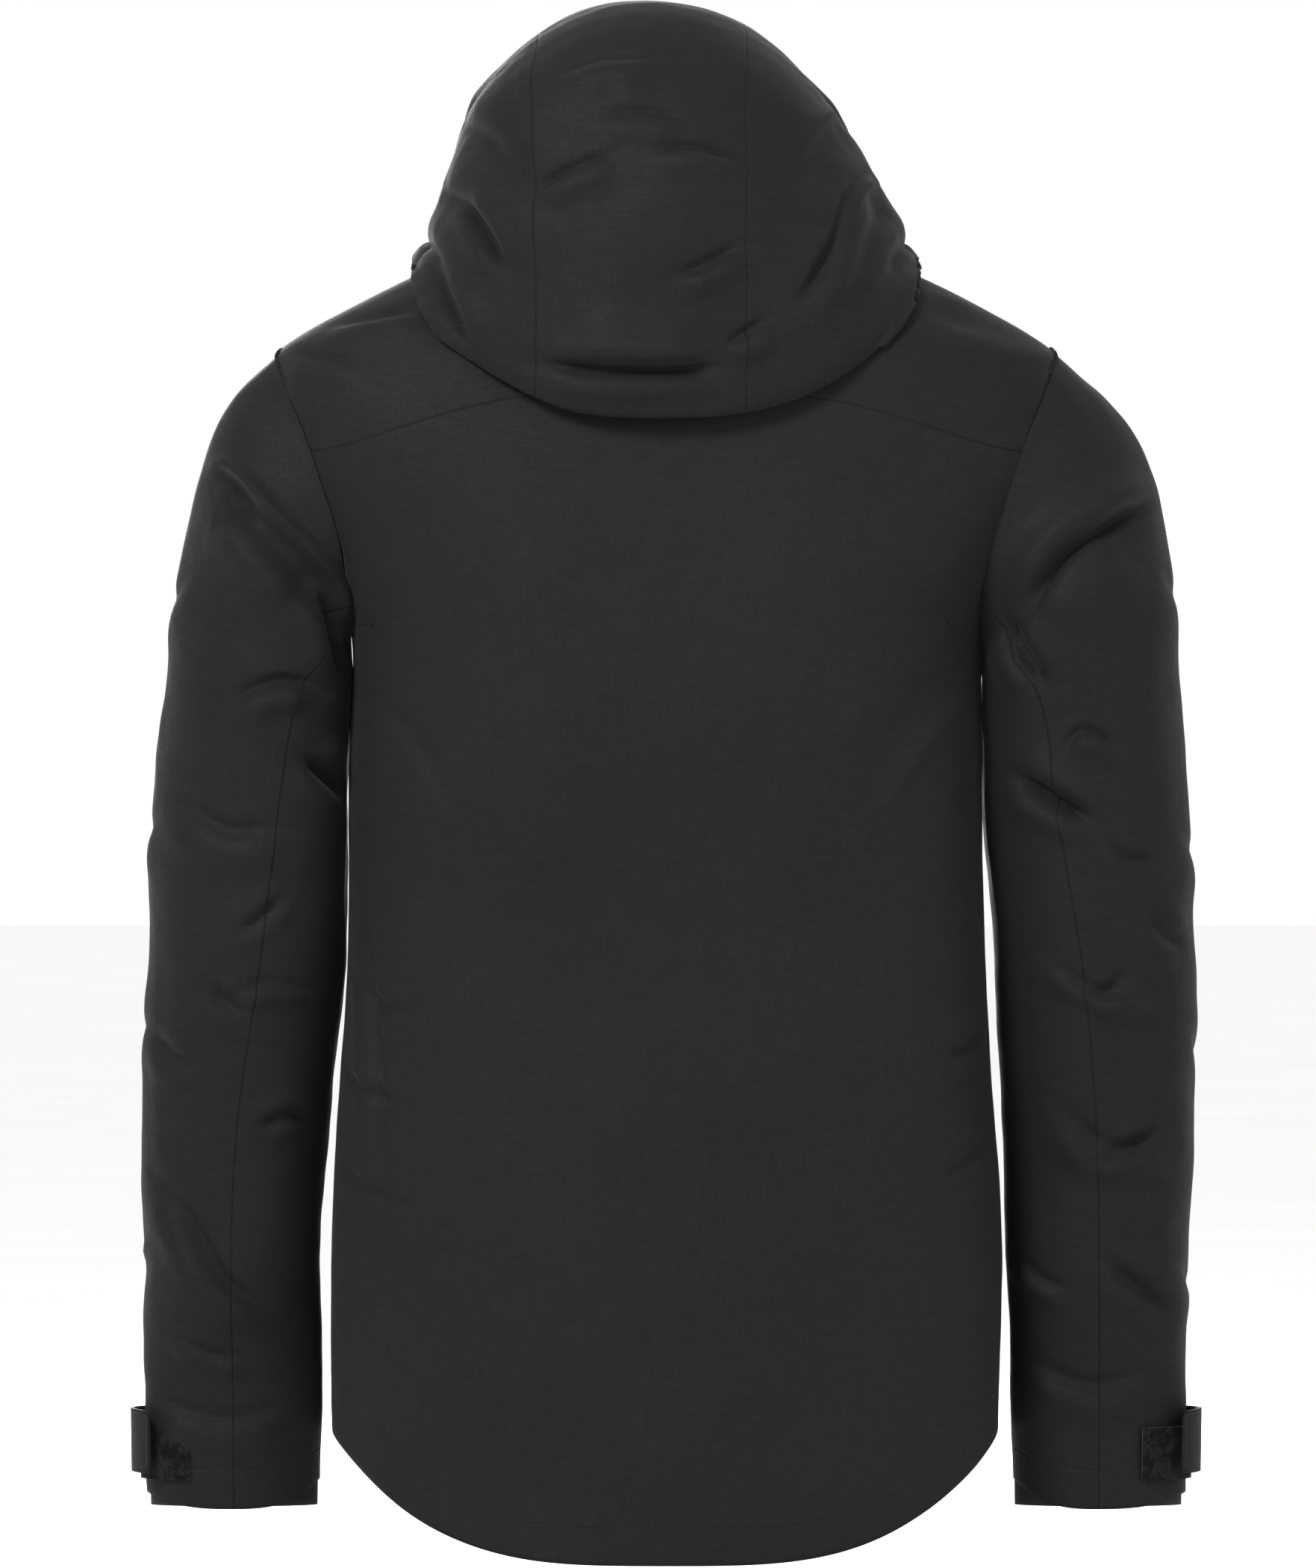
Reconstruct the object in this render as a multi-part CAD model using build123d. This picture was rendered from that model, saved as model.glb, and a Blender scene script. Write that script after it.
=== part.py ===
"""A men's hardshell jacket, size L, with its hood up and its front zip closed.

Frame: millimetres. The origin is where the hanger loop is sewn in at the centre back neck. +Z is
up, the front faces -Y and the wearer's left is +X. Pairs are modelled on the left and mirrored.

The cloth pieces are layers of a few smooth surfaces. Each surface is a function of two numbers
and a depth below the outer face of the cloth, and each sewn panel is a four-sided patch of one.
"""

import math
import os
from functools import lru_cache

from build123d import *

# ---- the whole jacket
CENTRE_Y = -65.2  # the middle of the trunk, front to back
SHELL = 2.0  # thickness of a shell panel with its seam tape
SEAM = 0.5  # clear gap where two panels are sewn edge to edge
FIT_TOLERANCE = 0.05

# ---- trunk outline by height: z, half width, depth to the front, depth to the back, power.
# The centre front is one straight line, so that the zip can run along it.
ZIP_LINE_Z = -75.0
ZIP_LINE_DEPTH = 98.0
ZIP_LINE_LEAN = 0.078
TRUNK_SIDES = [
    (-800, 197, 132, 2.5),
    (-700, 200, 130, 2.5),
    (-600, 200, 126, 2.5),
    (-500, 195, 122, 2.5),
    (-400, 188, 121, 2.5),
    (-300, 184, 124, 2.5),
    (-228, 189, 126, 2.5),
    (-190, 206, 124, 2.7),
    (-144, 225, 119, 3.0),
    (-100, 236, 112, 3.0),
    (-82, 237, 107, 2.95),
    (-75, 236, 105, 2.9),
]
SHOULDER_TOP = [
    (-66, 233, 96.8, 102, 2.8),
    (-54, 214, 89, 97, 2.7),
    (-39, 186, 76, 90, 2.5),
    (-20, 148, 58, 79, 2.4),
    (-2, 112, 42, 66, 2.3),
    (16, 66, 24, 50, 2.2),
]

# ---- seams of the trunk
ARMHOLE_TOP_Z = -62.0
ARMPIT_Z = -228.0
ARMHOLE_ANGLE = math.radians(30)  # half of the angle that the armhole opens, seen from above
BACK_YOKE_Z = (-86.0, -125.0)  # of its seam, at the centre and at the armhole
FRONT_YOKE_Z = (-108.0, -128.0)
HEM_Z = {"front": -722.0, "side": -708.0, "back": -783.0}
HEM_ROUNDING = 2.8
SIDE_SEAM_HALF_ANGLE = 0.004
SHOULDER_SEAM_HALF_ANGLE = 0.016
HEM_FACING = 26.0

# ---- neck seam, an oval seen from above, and the collar that stands on it
NECK = (82.0, 86.0, -12.0, 2.6)  # half width, half depth, centre y, power
COLLAR_HEIGHT = 60.0

# ---- sleeve rings: outer x, z and inner x, z of each, its centre y, its half depth
SLEEVE = [
    (239, -63, 195, -230, 0, 60),
    (264, -94, 195, -244, 0, 68),
    (284, -140, 195, -260, 0, 74),
    (297, -195, 195, -280, -2, 77),
    (305, -260, 195, -315, -4, 76),
    (312, -350, 198, -370, -8, 72),
    (316, -440, 202, -445, -12, 66),
    (317, -520, 205, -520, -16, 58),
    (315, -600, 206, -600, -20, 49),
    (313, -680, 206, -680, -23, 40),
    (312, -756, 207, -756, -26, 34),
]
CUFF_FACING = 0.955  # where along the sleeve the facing inside the cuff begins

# ---- hood, a fan of arches about one axis: fan angle, radius, half width, power
HOOD_AXIS = (-20.0, -10.0)  # y, z
HOOD = [
    (-33, 170, 149, 3.0),
    (0, 160, 150, 2.4),
    (45, 160, 150, 2.1),
    (90, 155, 150, 2.0),
    (140, 156, 142, 2.0),
]
HOOD_RIM_FAN = -33.0
HOOD_BRIM_FAN = 137.0
HOOD_CHEEK_FAN = 160.0
HOOD_SEAM = math.radians(25)
HOOD_END = math.radians(80)
HOOD_THICK = 2.4
VISOR_END = math.radians(62)
VISOR_START = 0.84
BINDING_START = 0.93
HOOD_SEAM_GAP = 0.006
HOOD_BASE_HEIGHT = 6.0  # of its inner edge above the neck seam
HOOD_BASE_GAP = 1.2
HOOD_BASE_BULGE = 14.0

CHEST = Vector(0, CENTRE_Y, -115.0)  # a point inside, from which all of the shoulder is seen
NECK_SIDE = math.pi / 2 - 0.015

# ---- zips, in a frame with z along the zip, x across it and -y outward
COIL_GAP = 0.8
COIL_WIDTH = 2.6
COIL_HALF_THICK = 1.2
TAPE_HALF_THICK = 0.4
PLATE = (1.6, 2.8)
SLIDER_HALF_WIDTH = 5.2
SLIDER_HALF_LENGTH = 6.5
FLANGE = 1.2
PIN_HEIGHT = 5.2
PIN_RADIUS = 0.8
RUNNING = 0.4  # clearance of everything that slides or swings
PULLER_LENGTH = 30.0
ZIP_END = 8.0  # from the end of the coils to the middle of the slider

MAIN_ZIP_Z = (-708.0, -20.0)
MAIN_ZIP_DEPTH = 3.4
MAIN_TAPE_HALF = 15.0
FRONT_WINDOW = 9.0
POCKET_ZIP_SCALE = 0.75
POCKET_ZIP_DEPTH = 3.2
POCKET_TAPE_HALF = 9.0
POCKET_WINDOW = 5.2
HAND_ZIP = (112.0, -585.0, -425.0)  # x, low z, high z
CHEST_ZIP = (72.0, -370.0, -235.0)

# ---- layers inside the shell, as depths below its outer face
FACING = (2.6, 4.0)
LINING = (2.6, 4.2)
BAG_LAYER = (6.0, 7.6)
LABEL_LAYER = (2.8, 3.4)
STORM_FLAP = (3.2, 4.6)  # behind the zip's middle plane
FLAP_HALF_WIDTH = 22.0
LINING_WINDOW = 18.0
HEM_FACING_GAP = 27.0
HAND_BAG = ((62.0, 158.0), (-640.0, -405.0))
CHEST_BAG = ((32.0, 128.0), (-378.0, -226.0))
LABEL_ANGLES = (math.radians(80), math.radians(88))
LABEL_Z = (-645.0, -590.0)

# ---- hanger loop
LOOP_HALF_WIDTH = 27.0
LOOP_BOW = 13.0
LOOP_THICK = 1.6
LOOP_TALL = 8.0

# ---- cuff tab and its patches
SLEEVE_SEAM_ANGLE = 0.005
TAB_ALONG = (0.921, 0.971)
HOOK_REACH = (0.6, 0.95)
HOOK_LAYER = (0.4, 1.4)
LOOP_PATCH = ((math.radians(62), math.radians(150)), (0.935, 0.977))
LOOP_LAYER = (-1.6, -0.5)
TAB_ANGLES = (math.radians(-8), math.radians(128))  # from the front, round the outside
TAB_STAND_OFF = (2.4, 9.0)  # at its sewn end, and added at its free end
TAB_THICK = 1.8


def at(x, y, z):
    """A point given from the middle of the trunk."""
    return Vector(x, y + CENTRE_Y, z)


def mix(a, b, t):
    return a + (b - a) * t


def power(value, exponent):
    return math.copysign(abs(value) ** exponent, value)


def station(table, where):
    """The columns of a table after the first, on a smooth curve through its rows."""
    last = len(table) - 1
    i = next((k for k in range(last) if where <= table[k + 1][0]), last - 1)
    low, high = table[i], table[i + 1]
    span = high[0] - low[0]
    t = (where - low[0]) / span
    values = []
    for c in range(1, len(low)):
        tangents = []
        for k in (i, i + 1):
            a, b = table[max(0, k - 1)], table[min(last, k + 1)]
            tangents.append((b[c] - a[c]) / (b[0] - a[0]) * span)
        values.append(
            (2 * t**3 - 3 * t**2 + 1) * low[c]
            + (t**3 - 2 * t**2 + t) * tangents[0]
            + (3 * t**2 - 2 * t**3) * high[c]
            + (t**3 - t**2) * tangents[1]
        )
    return values


def zip_line(z):
    """Depth of the centre front in front of the middle of the trunk."""
    return ZIP_LINE_DEPTH - (z - ZIP_LINE_Z) * ZIP_LINE_LEAN


TRUNK = [(z, w, zip_line(z), back, p) for z, w, back, p in TRUNK_SIDES] + SHOULDER_TOP


def inset_station(z, depth):
    """The trunk's half width, front and back depth, taken in along its slope, and its power."""
    step = 4.0
    now, above, below = (station(TRUNK, z + d) for d in (0, step, -step))
    slopes = [(above[c] - below[c]) / (2 * step) for c in range(3)]
    return [now[c] - depth * math.hypot(1, slopes[c]) for c in range(3)] + [now[3]]


def trunk(angle, z, depth=0.0):
    """Angle 0 is the centre front, a quarter turn is the left side and a half turn the back."""
    half_width, front, back, p = inset_station(z, depth)
    s, c = math.sin(angle), math.cos(angle)
    reach = front if c > 0 else back
    return at(half_width * power(s, 2 / p), -reach * power(c, 2 / p), z)


def trunk_angle(x, z):
    """The angle of the front surface at distance x from the middle."""
    half_width, _, _, p = station(TRUNK, z)
    return math.asin((x / half_width) ** (p / 2))


@lru_cache(None)
def neck_z(angle, grow=1.0):
    """The height at which the shoulder's surface meets the neck seam, grown outward a little."""
    half_width, half_depth, centre, p = NECK
    low, high = -90.0, 16.0
    for _ in range(30):
        z = (low + high) / 2
        point = trunk(angle, z)
        x, y = point.X / (half_width + grow), (point.Y - CENTRE_Y - centre) / (half_depth + grow)
        if abs(x) ** p + abs(y) ** p > 1:
            low = z
        else:
            high = z
    return (low + high) / 2


def hem_z(angle):
    end = HEM_Z["front"] if math.cos(angle) > 0 else HEM_Z["back"]
    return mix(end, HEM_Z["side"], abs(math.sin(angle)) ** HEM_ROUNDING)


def yoke_z(angle):
    ends = FRONT_YOKE_Z if math.cos(angle) > 0 else BACK_YOKE_Z
    return mix(*ends, abs(math.sin(angle)) ** 1.5)


def side_angle(z, side):
    """The edge of a trunk panel: the side seam, then the armhole, then the shoulder seam.
    Side is 1 for the back panels and -1 for the front ones."""
    middle = (ARMHOLE_TOP_Z + ARMPIT_Z) / 2
    height = (z - middle) / (ARMHOLE_TOP_Z - middle)
    opening = ARMHOLE_ANGLE * max(0.0, 1 - height**2) ** 0.75
    seam = SHOULDER_SEAM_HALF_ANGLE if z > ARMHOLE_TOP_Z else SIDE_SEAM_HALF_ANGLE
    return math.pi / 2 + side * (opening + seam)


def oval(angle, height, depth=0.0):
    """The collar's surface: angle as on the trunk, height above the neck seam."""
    half_width, half_depth, centre, p = NECK
    lean = 1 - depth - ZIP_LINE_LEAN * height
    x = (half_width - 1 + lean) * power(math.sin(angle), 2 / p)
    y = centre - (half_depth - 1 + lean) * power(math.cos(angle), 2 / p)
    return x, y


@lru_cache(None)
def shoulder_z(x, y):
    """Height of the shoulder's surface over a point, seen from above."""
    low, high = -90.0, 16.0
    for _ in range(30):
        z = (low + high) / 2
        half_width, front, back, p = station(TRUNK, z)
        if abs(x / half_width) ** p + abs(y / (back if y > 0 else front)) ** p > 1:
            high = z
        else:
            low = z
    return (low + high) / 2


def collar(angle, height, depth=0.0):
    x, y = oval(angle, height, depth)
    return at(x, y, shoulder_z(*oval(angle, 0)) + height)


def sleeve(angle, along, depth=0.0):
    """Angle 0 is the front, a quarter turn is the outside and a half turn the back."""
    rows = [(i / (len(SLEEVE) - 1), *row) for i, row in enumerate(SLEEVE)]
    outer_x, outer_z, inner_x, inner_z, y, half_depth = station(rows, along)
    half = math.hypot(outer_x - inner_x, outer_z - inner_z) / 2
    s = math.sin(angle) * (half - depth) / half
    x = mix(inner_x, outer_x, (1 + s) / 2)
    z = mix(inner_z, outer_z, (1 + s) / 2)
    return at(x, y - (half_depth - depth) * math.cos(angle), z)


def hood(arch, fan, depth=0.0):
    """Arch runs from the right ear over the middle to the left ear, fan from the back forward."""
    radius, half_width, p = station(HOOD, fan)
    x = (half_width - depth) * power(math.sin(arch), 2 / p)
    reach = (radius - depth) * power(math.cos(arch), 2 / p)
    turn = math.radians(fan)
    return at(x, HOOD_AXIS[0] + reach * math.cos(turn), HOOD_AXIS[1] + reach * math.sin(turn))


def hood_fan(arch, forward):
    """Fan angle from the hood's low back rim (forward is 0) to its face opening (1)."""
    s = abs(math.sin(arch))
    rim = HOOD_RIM_FAN * (1 - s**3)
    brim = mix(HOOD_BRIM_FAN, HOOD_CHEEK_FAN, s**3)
    return mix(rim, brim, forward)


def end_distance(edge, a, b):
    """How far an edge's ends are from two points, in either order."""
    start, end = edge.position_at(0), edge.position_at(1)
    straight = (start - a).length + (end - b).length
    return min(straight, (start - b).length + (end - a).length)


def layer(surface, near, far, columns, rows):
    """A solid between two depths of a patch: surface(s, t, depth), with s and t from 0 to 1."""
    faces, borders = [], []
    for depth in (near, far):
        grid = [
            [surface(i / columns, j / rows, depth) for j in range(rows + 1)]
            for i in range(columns + 1)
        ]
        face = Face.make_surface_from_array_of_points(grid, tol=FIT_TOLERANCE)
        corners = [grid[0][0], grid[-1][0], grid[-1][-1], grid[0][-1], grid[0][0]]
        sides = list(zip(corners, corners[1:]))
        faces.append(face)
        borders.append([min(face.edges(), key=lambda e: end_distance(e, a, b)) for a, b in sides])
    walls = [Face.make_surface_from_curves(a, b) for a, b in zip(*borders)]
    return Solid(Shell(faces + walls))


def bar(x, y, z):
    """A box between three pairs of limits."""
    middle = [(a + b) / 2 for a, b in (x, y, z)]
    return Pos(*middle) * Box(x[1] - x[0], y[1] - y[0], z[1] - z[0])


def pair(x, y, z):
    """A bar and its mirror image, as two separate solids."""
    return [bar(x, y, z), bar((-x[1], -x[0]), y, z)]


def save(name, *shapes):
    solids = [solid for shape in shapes for solid in shape.solids()]
    export_step(solids[0] if len(solids) == 1 else Compound(solids), f"parts/{name}.step")


def save_pair(name, *shapes):
    save(f"{name}_left", *shapes)
    save(f"{name}_right", *[mirror(shape, Plane.YZ) for shape in shapes])


# ---- trunk panels


def back_panel(s, t, depth):
    edge = side_angle(mix(HEM_Z["side"], BACK_YOKE_Z[1], t), 1)
    angle = mix(edge, 2 * math.pi - edge, s)
    return trunk(angle, mix(hem_z(angle), yoke_z(angle) - SEAM, t), depth)


def back_yoke(s, t, depth):
    edge = side_angle(mix(BACK_YOKE_Z[1], neck_z(math.pi / 2), t), 1)
    angle = mix(edge, 2 * math.pi - edge, s)
    return trunk(angle, mix(yoke_z(angle), neck_z(angle), t), depth)


def front_panel(s, t, depth):
    middle = trunk_angle(FRONT_WINDOW, mix(HEM_Z["front"], FRONT_YOKE_Z[0], t))
    edge = side_angle(mix(HEM_Z["side"], FRONT_YOKE_Z[1], t), -1)
    angle = mix(middle, edge, s)
    return trunk(angle, mix(hem_z(angle), yoke_z(angle) - SEAM, t), depth)


def onto_shoulder(point, depth):
    """The point where the trunk's surface, taken in by depth, meets a ray from inside the chest."""
    ray = point - CHEST
    low, high = 0.5, 1.5
    for _ in range(24):
        reach = (low + high) / 2
        p = CHEST + ray * reach
        if inside_trunk(p, depth):
            low = reach
        else:
            high = reach
    return CHEST + ray * reach


def inside_trunk(point, depth):
    if point.Z > SHOULDER_TOP[-1][0]:
        return False
    half_width, front, back, p = inset_station(point.Z, depth)
    y = point.Y - CENTRE_Y
    return abs(point.X / half_width) ** p + abs(y / (back if y > 0 else front)) ** p < 1


def front_yoke(s, t, depth):
    """From the yoke seam over the front of the shoulder to the neck and the shoulder seam."""
    seam_angle = mix(trunk_angle(FRONT_WINDOW, FRONT_YOKE_Z[0]), side_angle(FRONT_YOKE_Z[1], -1), s)
    neck_start = math.asin((FRONT_WINDOW / NECK[0]) ** (NECK[3] / 2))
    ends = []
    for f in (s, 1.0):
        angle = mix(trunk_angle(FRONT_WINDOW, FRONT_YOKE_Z[0]), side_angle(FRONT_YOKE_Z[1], -1), f)
        x, y = oval(mix(neck_start, NECK_SIDE, f), 0, -SEAM * 2)
        ends.append((trunk(angle, yoke_z(angle)), at(x, y, shoulder_z(x, y))))
    (low, high), (side_low, side_high) = ends
    z = mix(side_low.Z, side_high.Z, t)
    edge = trunk(side_angle(z, -1), z)
    point = low + (high - low) * t + (edge - side_low - (side_high - side_low) * t) * s**2
    return onto_shoulder(point, depth)


def hem_facing(s, t, depth):
    edge = trunk_angle(HEM_FACING_GAP, HEM_Z["front"])
    angle = mix(edge, 2 * math.pi - edge, s)
    return trunk(angle, hem_z(angle) + mix(SEAM, HEM_FACING, t), depth)


def front_rectangle(x, z):
    """A patch of the left front between two distances from the middle and two heights."""
    def surface(s, t, depth):
        height = mix(*z, t)
        return trunk(trunk_angle(mix(*x, s), height), height, depth)
    return surface


def make_trunk():
    save("back_panel", layer(back_panel, 0, SHELL, 24, 32))
    save("back_yoke", layer(back_yoke, 0, SHELL, 28, 16))
    front = layer(front_panel, 0, SHELL, 16, 36)
    cuts = [zip_window(HAND_ZIP), zip_window(CHEST_ZIP)]
    save("front_panel_left", front - cuts[0] - cuts[1])
    save("front_panel_right", mirror(front - cuts[0], Plane.YZ))
    save_pair("front_yoke", layer(front_yoke, 0, SHELL, 18, 14))
    save("hem_facing", layer(hem_facing, *FACING, 48, 4))
    save("care_label", layer(care_label, *LABEL_LAYER, 4, 6))
    save_pair("hand_pocket_bag", layer(front_rectangle(*HAND_BAG), *BAG_LAYER, 8, 12))
    save("chest_pocket_bag", layer(front_rectangle(*CHEST_BAG), *BAG_LAYER, 8, 10))


def care_label(s, t, depth):
    return trunk(mix(*LABEL_ANGLES, s), mix(*LABEL_Z, t), depth)


# ---- collar and hanger loop


def collar_band(bottom, top, window):
    """A patch of the collar between two heights, open at the front for the zip."""
    def surface(s, t, depth):
        edge = math.asin((window / NECK[0]) ** (NECK[3] / 2))
        return collar(mix(edge, 2 * math.pi - edge, s), mix(bottom, top, t), depth)
    return surface


def hanger_loop():
    """A strap that bows inward from the collar, wide enough for a hook to pass behind it."""
    ends = [(LOOP_HALF_WIDTH, LOOP_BOW), (LOOP_HALF_WIDTH - LOOP_THICK, LOOP_BOW - LOOP_THICK)]
    arcs = [
        Edge.make_three_point_arc((-x, 0, 0), (0, -bow, 0), (x, 0, 0)) for x, bow in ends
    ]
    feet = [Edge.make_line((side * ends[0][0], 0, 0), (side * ends[1][0], 0, 0)) for side in (-1, 1)]
    strap = Solid.extrude(Face(Wire(arcs + feet)), Vector(0, 0, LOOP_TALL))
    return Pos(0, 0, -LOOP_TALL / 2) * strap


def make_collar():
    save("collar", layer(collar_band(SEAM, COLLAR_HEIGHT, FRONT_WINDOW), 0, SHELL, 36, 6))
    save("collar_lining", layer(collar_band(1.5, COLLAR_HEIGHT - 2, LINING_WINDOW), *LINING, 36, 6))
    save("hanger_loop", hanger_loop())


# ---- sleeves


def sleeve_patch(angles, along):
    def surface(s, t, depth):
        return sleeve(mix(*angles, s), mix(*along, t), depth)
    return surface


def tab_patch(start, end):
    """A patch of the cuff tab, which stands further off the sleeve towards its free end."""
    def surface(s, t, depth):
        reach = mix(start, end, s)
        stand_off = TAB_STAND_OFF[0] + TAB_STAND_OFF[1] * reach**2
        return sleeve(mix(*TAB_ANGLES, reach), mix(*TAB_ALONG, t), depth - stand_off)
    return surface


def make_sleeves():
    half = math.pi - SLEEVE_SEAM_ANGLE
    outer = sleeve_patch((SLEEVE_SEAM_ANGLE, half), (0, 1))
    under = sleeve_patch((math.pi + SLEEVE_SEAM_ANGLE, math.pi + half), (0, 1))
    around = (SLEEVE_SEAM_ANGLE, 2 * math.pi - SLEEVE_SEAM_ANGLE)
    facing = sleeve_patch(around, (CUFF_FACING, 0.999))
    save_pair("sleeve_outer", layer(outer, 0, SHELL, 12, 30))
    save_pair("sleeve_under", layer(under, 0, SHELL, 12, 30))
    save_pair("cuff_facing", layer(facing, *FACING, 28, 3))
    save_pair("cuff_loop_patch", layer(sleeve_patch(*LOOP_PATCH), *LOOP_LAYER, 8, 3))
    save_pair("cuff_tab", layer(tab_patch(0, 1), -TAB_THICK, 0, 12, 3))
    save_pair("cuff_hook_patch", layer(tab_patch(*HOOK_REACH), *HOOK_LAYER, 8, 3))


# ---- hood


def hood_patch(arches, forward):
    def surface(s, t, depth):
        arch = mix(*arches, s)
        return hood(arch, hood_fan(arch, mix(*forward, t)), depth)
    return surface


def hood_base(s, t, depth):
    """The underside of the hood, from the collar out to the low back rim."""
    arch = mix(-HOOD_END, HOOD_END, s)
    angle = math.pi - arch * (math.pi / 2) / HOOD_END
    inner = collar(angle, HOOD_BASE_HEIGHT, -HOOD_BASE_GAP)
    outer = hood(arch, hood_fan(arch, 0), HOOD_THICK + SEAM)
    point = inner + (outer - inner) * t
    return point + Vector(0, 0, HOOD_BASE_BULGE * math.sin(math.pi * t) - depth)


def make_hood():
    panels = (0, VISOR_START)
    centre = hood_patch((-HOOD_SEAM, HOOD_SEAM), panels)
    side = hood_patch((HOOD_SEAM + HOOD_SEAM_GAP, HOOD_END), panels)
    save("hood_panel_centre", layer(centre, 0, HOOD_THICK, 10, 24))
    save_pair("hood_panel_side", layer(side, 0, HOOD_THICK, 12, 24))
    save("hood_base", layer(hood_base, 0, SHELL, 32, 6))
    visor = hood_patch((-VISOR_END, VISOR_END), (VISOR_START + 0.005, 1))
    save("hood_visor", layer(visor, 0, HOOD_THICK, 24, 6))
    binding = hood_patch((-VISOR_END, VISOR_END), (BINDING_START, 0.998))
    save("hood_binding", layer(binding, HOOD_THICK + SEAM, HOOD_THICK + SEAM + SHELL, 24, 4))


# ---- zips


def zip_frame(line, depth):
    """The frame of a zip on the left front: x, low z and high z of its line on the surface."""
    x, low_z, high_z = line
    low, high = (trunk(trunk_angle(x, z), z) for z in (low_z, high_z))
    up = (high - low).normalized()
    across = Vector(1, 0, 0)
    if x:
        z = (low_z + high_z) / 2
        left, right = (trunk(trunk_angle(x + d, z), z) for d in (5, -5))
        across = left - right
    inward = up.cross(across).normalized()
    return Plane(low + inward * depth, x_dir=inward.cross(up), z_dir=up), (high - low).length


def zip_window(line):
    """The slot in the front panel that a pocket zip shows through."""
    frame, length = zip_frame(line, POCKET_ZIP_DEPTH)
    slot = bar((-POCKET_WINDOW, POCKET_WINDOW), (-12, -0.5), (-7, length + 4))
    return frame.location * slot


def slider(k):
    """Two plates on a post, with two lugs and the pin that the puller hangs on."""
    post = bar((-RUNNING * k, RUNNING * k), (-PLATE[0] * k, PLATE[0] * k), (2 * k, 5 * k))
    shape = post
    for side in (-1, 1):
        plate = bar(
            (-SLIDER_HALF_WIDTH * k, SLIDER_HALF_WIDTH * k),
            tuple(sorted((side * PLATE[0] * k, side * PLATE[1] * k))),
            (-SLIDER_HALF_LENGTH * k, SLIDER_HALF_LENGTH * k),
        )
        shape += fillet(plate.edges().filter_by(Axis.Y), 1.8 * k)
        rail = tuple(sorted((side * 2 * TAPE_HALF_THICK * k, side * PLATE[0] * k)))
        edges = ((SLIDER_HALF_WIDTH - FLANGE) * k, SLIDER_HALF_WIDTH * k)
        for flange in pair(edges, rail, (-4 * k, 4 * k)):
            shape += flange
    lug_height = (-(PIN_HEIGHT + 2 * PIN_RADIUS) * k, -PLATE[1] * k)
    for lug in pair((2.6 * k, 3.8 * k), lug_height, (-2 * k, 2 * k)):
        shape += lug
    pin = Pos(0, -PIN_HEIGHT * k, 0) * Rot(0, 90, 0) * Cylinder(PIN_RADIUS * k, 5.4 * k)
    return shape + pin


def puller(k):
    """A flat tab that hangs from the slider's pin by an eye."""
    eye_outer, eye_inner, half = 2.0 * k, (PIN_RADIUS + RUNNING) * k, 2.2 * k
    turned = Pos(0, -PIN_HEIGHT * k, 0) * Rot(0, 90, 0)
    thick = (-(PIN_HEIGHT + 0.8) * k, -(PIN_HEIGHT - 0.8) * k)
    neck = bar((-half, half), thick, (-9 * k, -0.6 * k))
    tab = bar((-1.9 * half, 1.9 * half), thick, (-PULLER_LENGTH * k, -8 * k))
    tab = fillet(tab.edges().filter_by(Axis.Y), 3 * k)
    return turned * Cylinder(eye_outer, 2 * half) + neck + tab - turned * Cylinder(eye_inner, 3 * half)


def zip_parts(length, k, tape_half):
    """The pieces of a zip that is closed, in its own frame, with the slider at the top."""
    inner, outer = COIL_GAP * k, (COIL_GAP + COIL_WIDTH) * k
    thick = (-COIL_HALF_THICK * k, COIL_HALF_THICK * k)
    tape_thick = (-TAPE_HALF_THICK * k, TAPE_HALF_THICK * k)
    top = Pos(0, 0, length - ZIP_END * k)
    return {
        "coils": pair((inner, outer), thick, (0, length)),
        "tapes": pair((outer, tape_half), tape_thick, (-7 * k, length + 3 * k)),
        "stops": pair((inner, outer), thick, (length + 0.3, length + 3 * k))
        + [bar((-outer + 0.1, outer - 0.1), (-2 * k, 2 * k), (-6 * k, -0.3))],
        "slider": [top * slider(k)],
        "puller": [top * puller(k)],
    }


def make_zips():
    low, high = MAIN_ZIP_Z
    frame, _ = zip_frame((0, low, ZIP_LINE_Z), MAIN_ZIP_DEPTH)
    length = (high - low) * math.hypot(1, ZIP_LINE_LEAN)
    parts = zip_parts(length, 1.0, MAIN_TAPE_HALF)
    placed = {name: [frame.location * s for s in shapes] for name, shapes in parts.items()}
    save("front_zip_coils", *placed["coils"])
    save("front_zip_tape_left", placed["tapes"][0])
    save("front_zip_tape_right", placed["tapes"][1])
    save("front_zip_stops", *placed["stops"])
    save("front_zip_slider", *placed["slider"])
    save("front_zip_puller", *placed["puller"])
    flap = bar((-FLAP_HALF_WIDTH, FLAP_HALF_WIDTH), STORM_FLAP, (0, length - 4))
    save("storm_flap", frame.location * flap)

    for name, line in (("hand", HAND_ZIP), ("chest", CHEST_ZIP)):
        frame, length = zip_frame(line, POCKET_ZIP_DEPTH)
        parts = zip_parts(length, POCKET_ZIP_SCALE, POCKET_TAPE_HALF)
        keep = save_pair if name == "hand" else save
        for piece, shapes in parts.items():
            if piece != "stops":
                keep(f"{name}_zip_{piece}", *[frame.location * s for s in shapes])


os.makedirs("parts", exist_ok=True)
make_trunk()
make_collar()
make_sleeves()
make_hood()
make_zips()
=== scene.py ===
"""A men's hardshell jacket, seen from behind, with its hood up and its zip closed.

Shapes are worked out in millimetres, in the frame of the CAD model, and become metres when a mesh
is made. Folds are strokes: lines on the cloth, drawn as seen from the back, the front, the left or
the right, that raise or sink the cloth round them.
"""

import math

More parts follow.
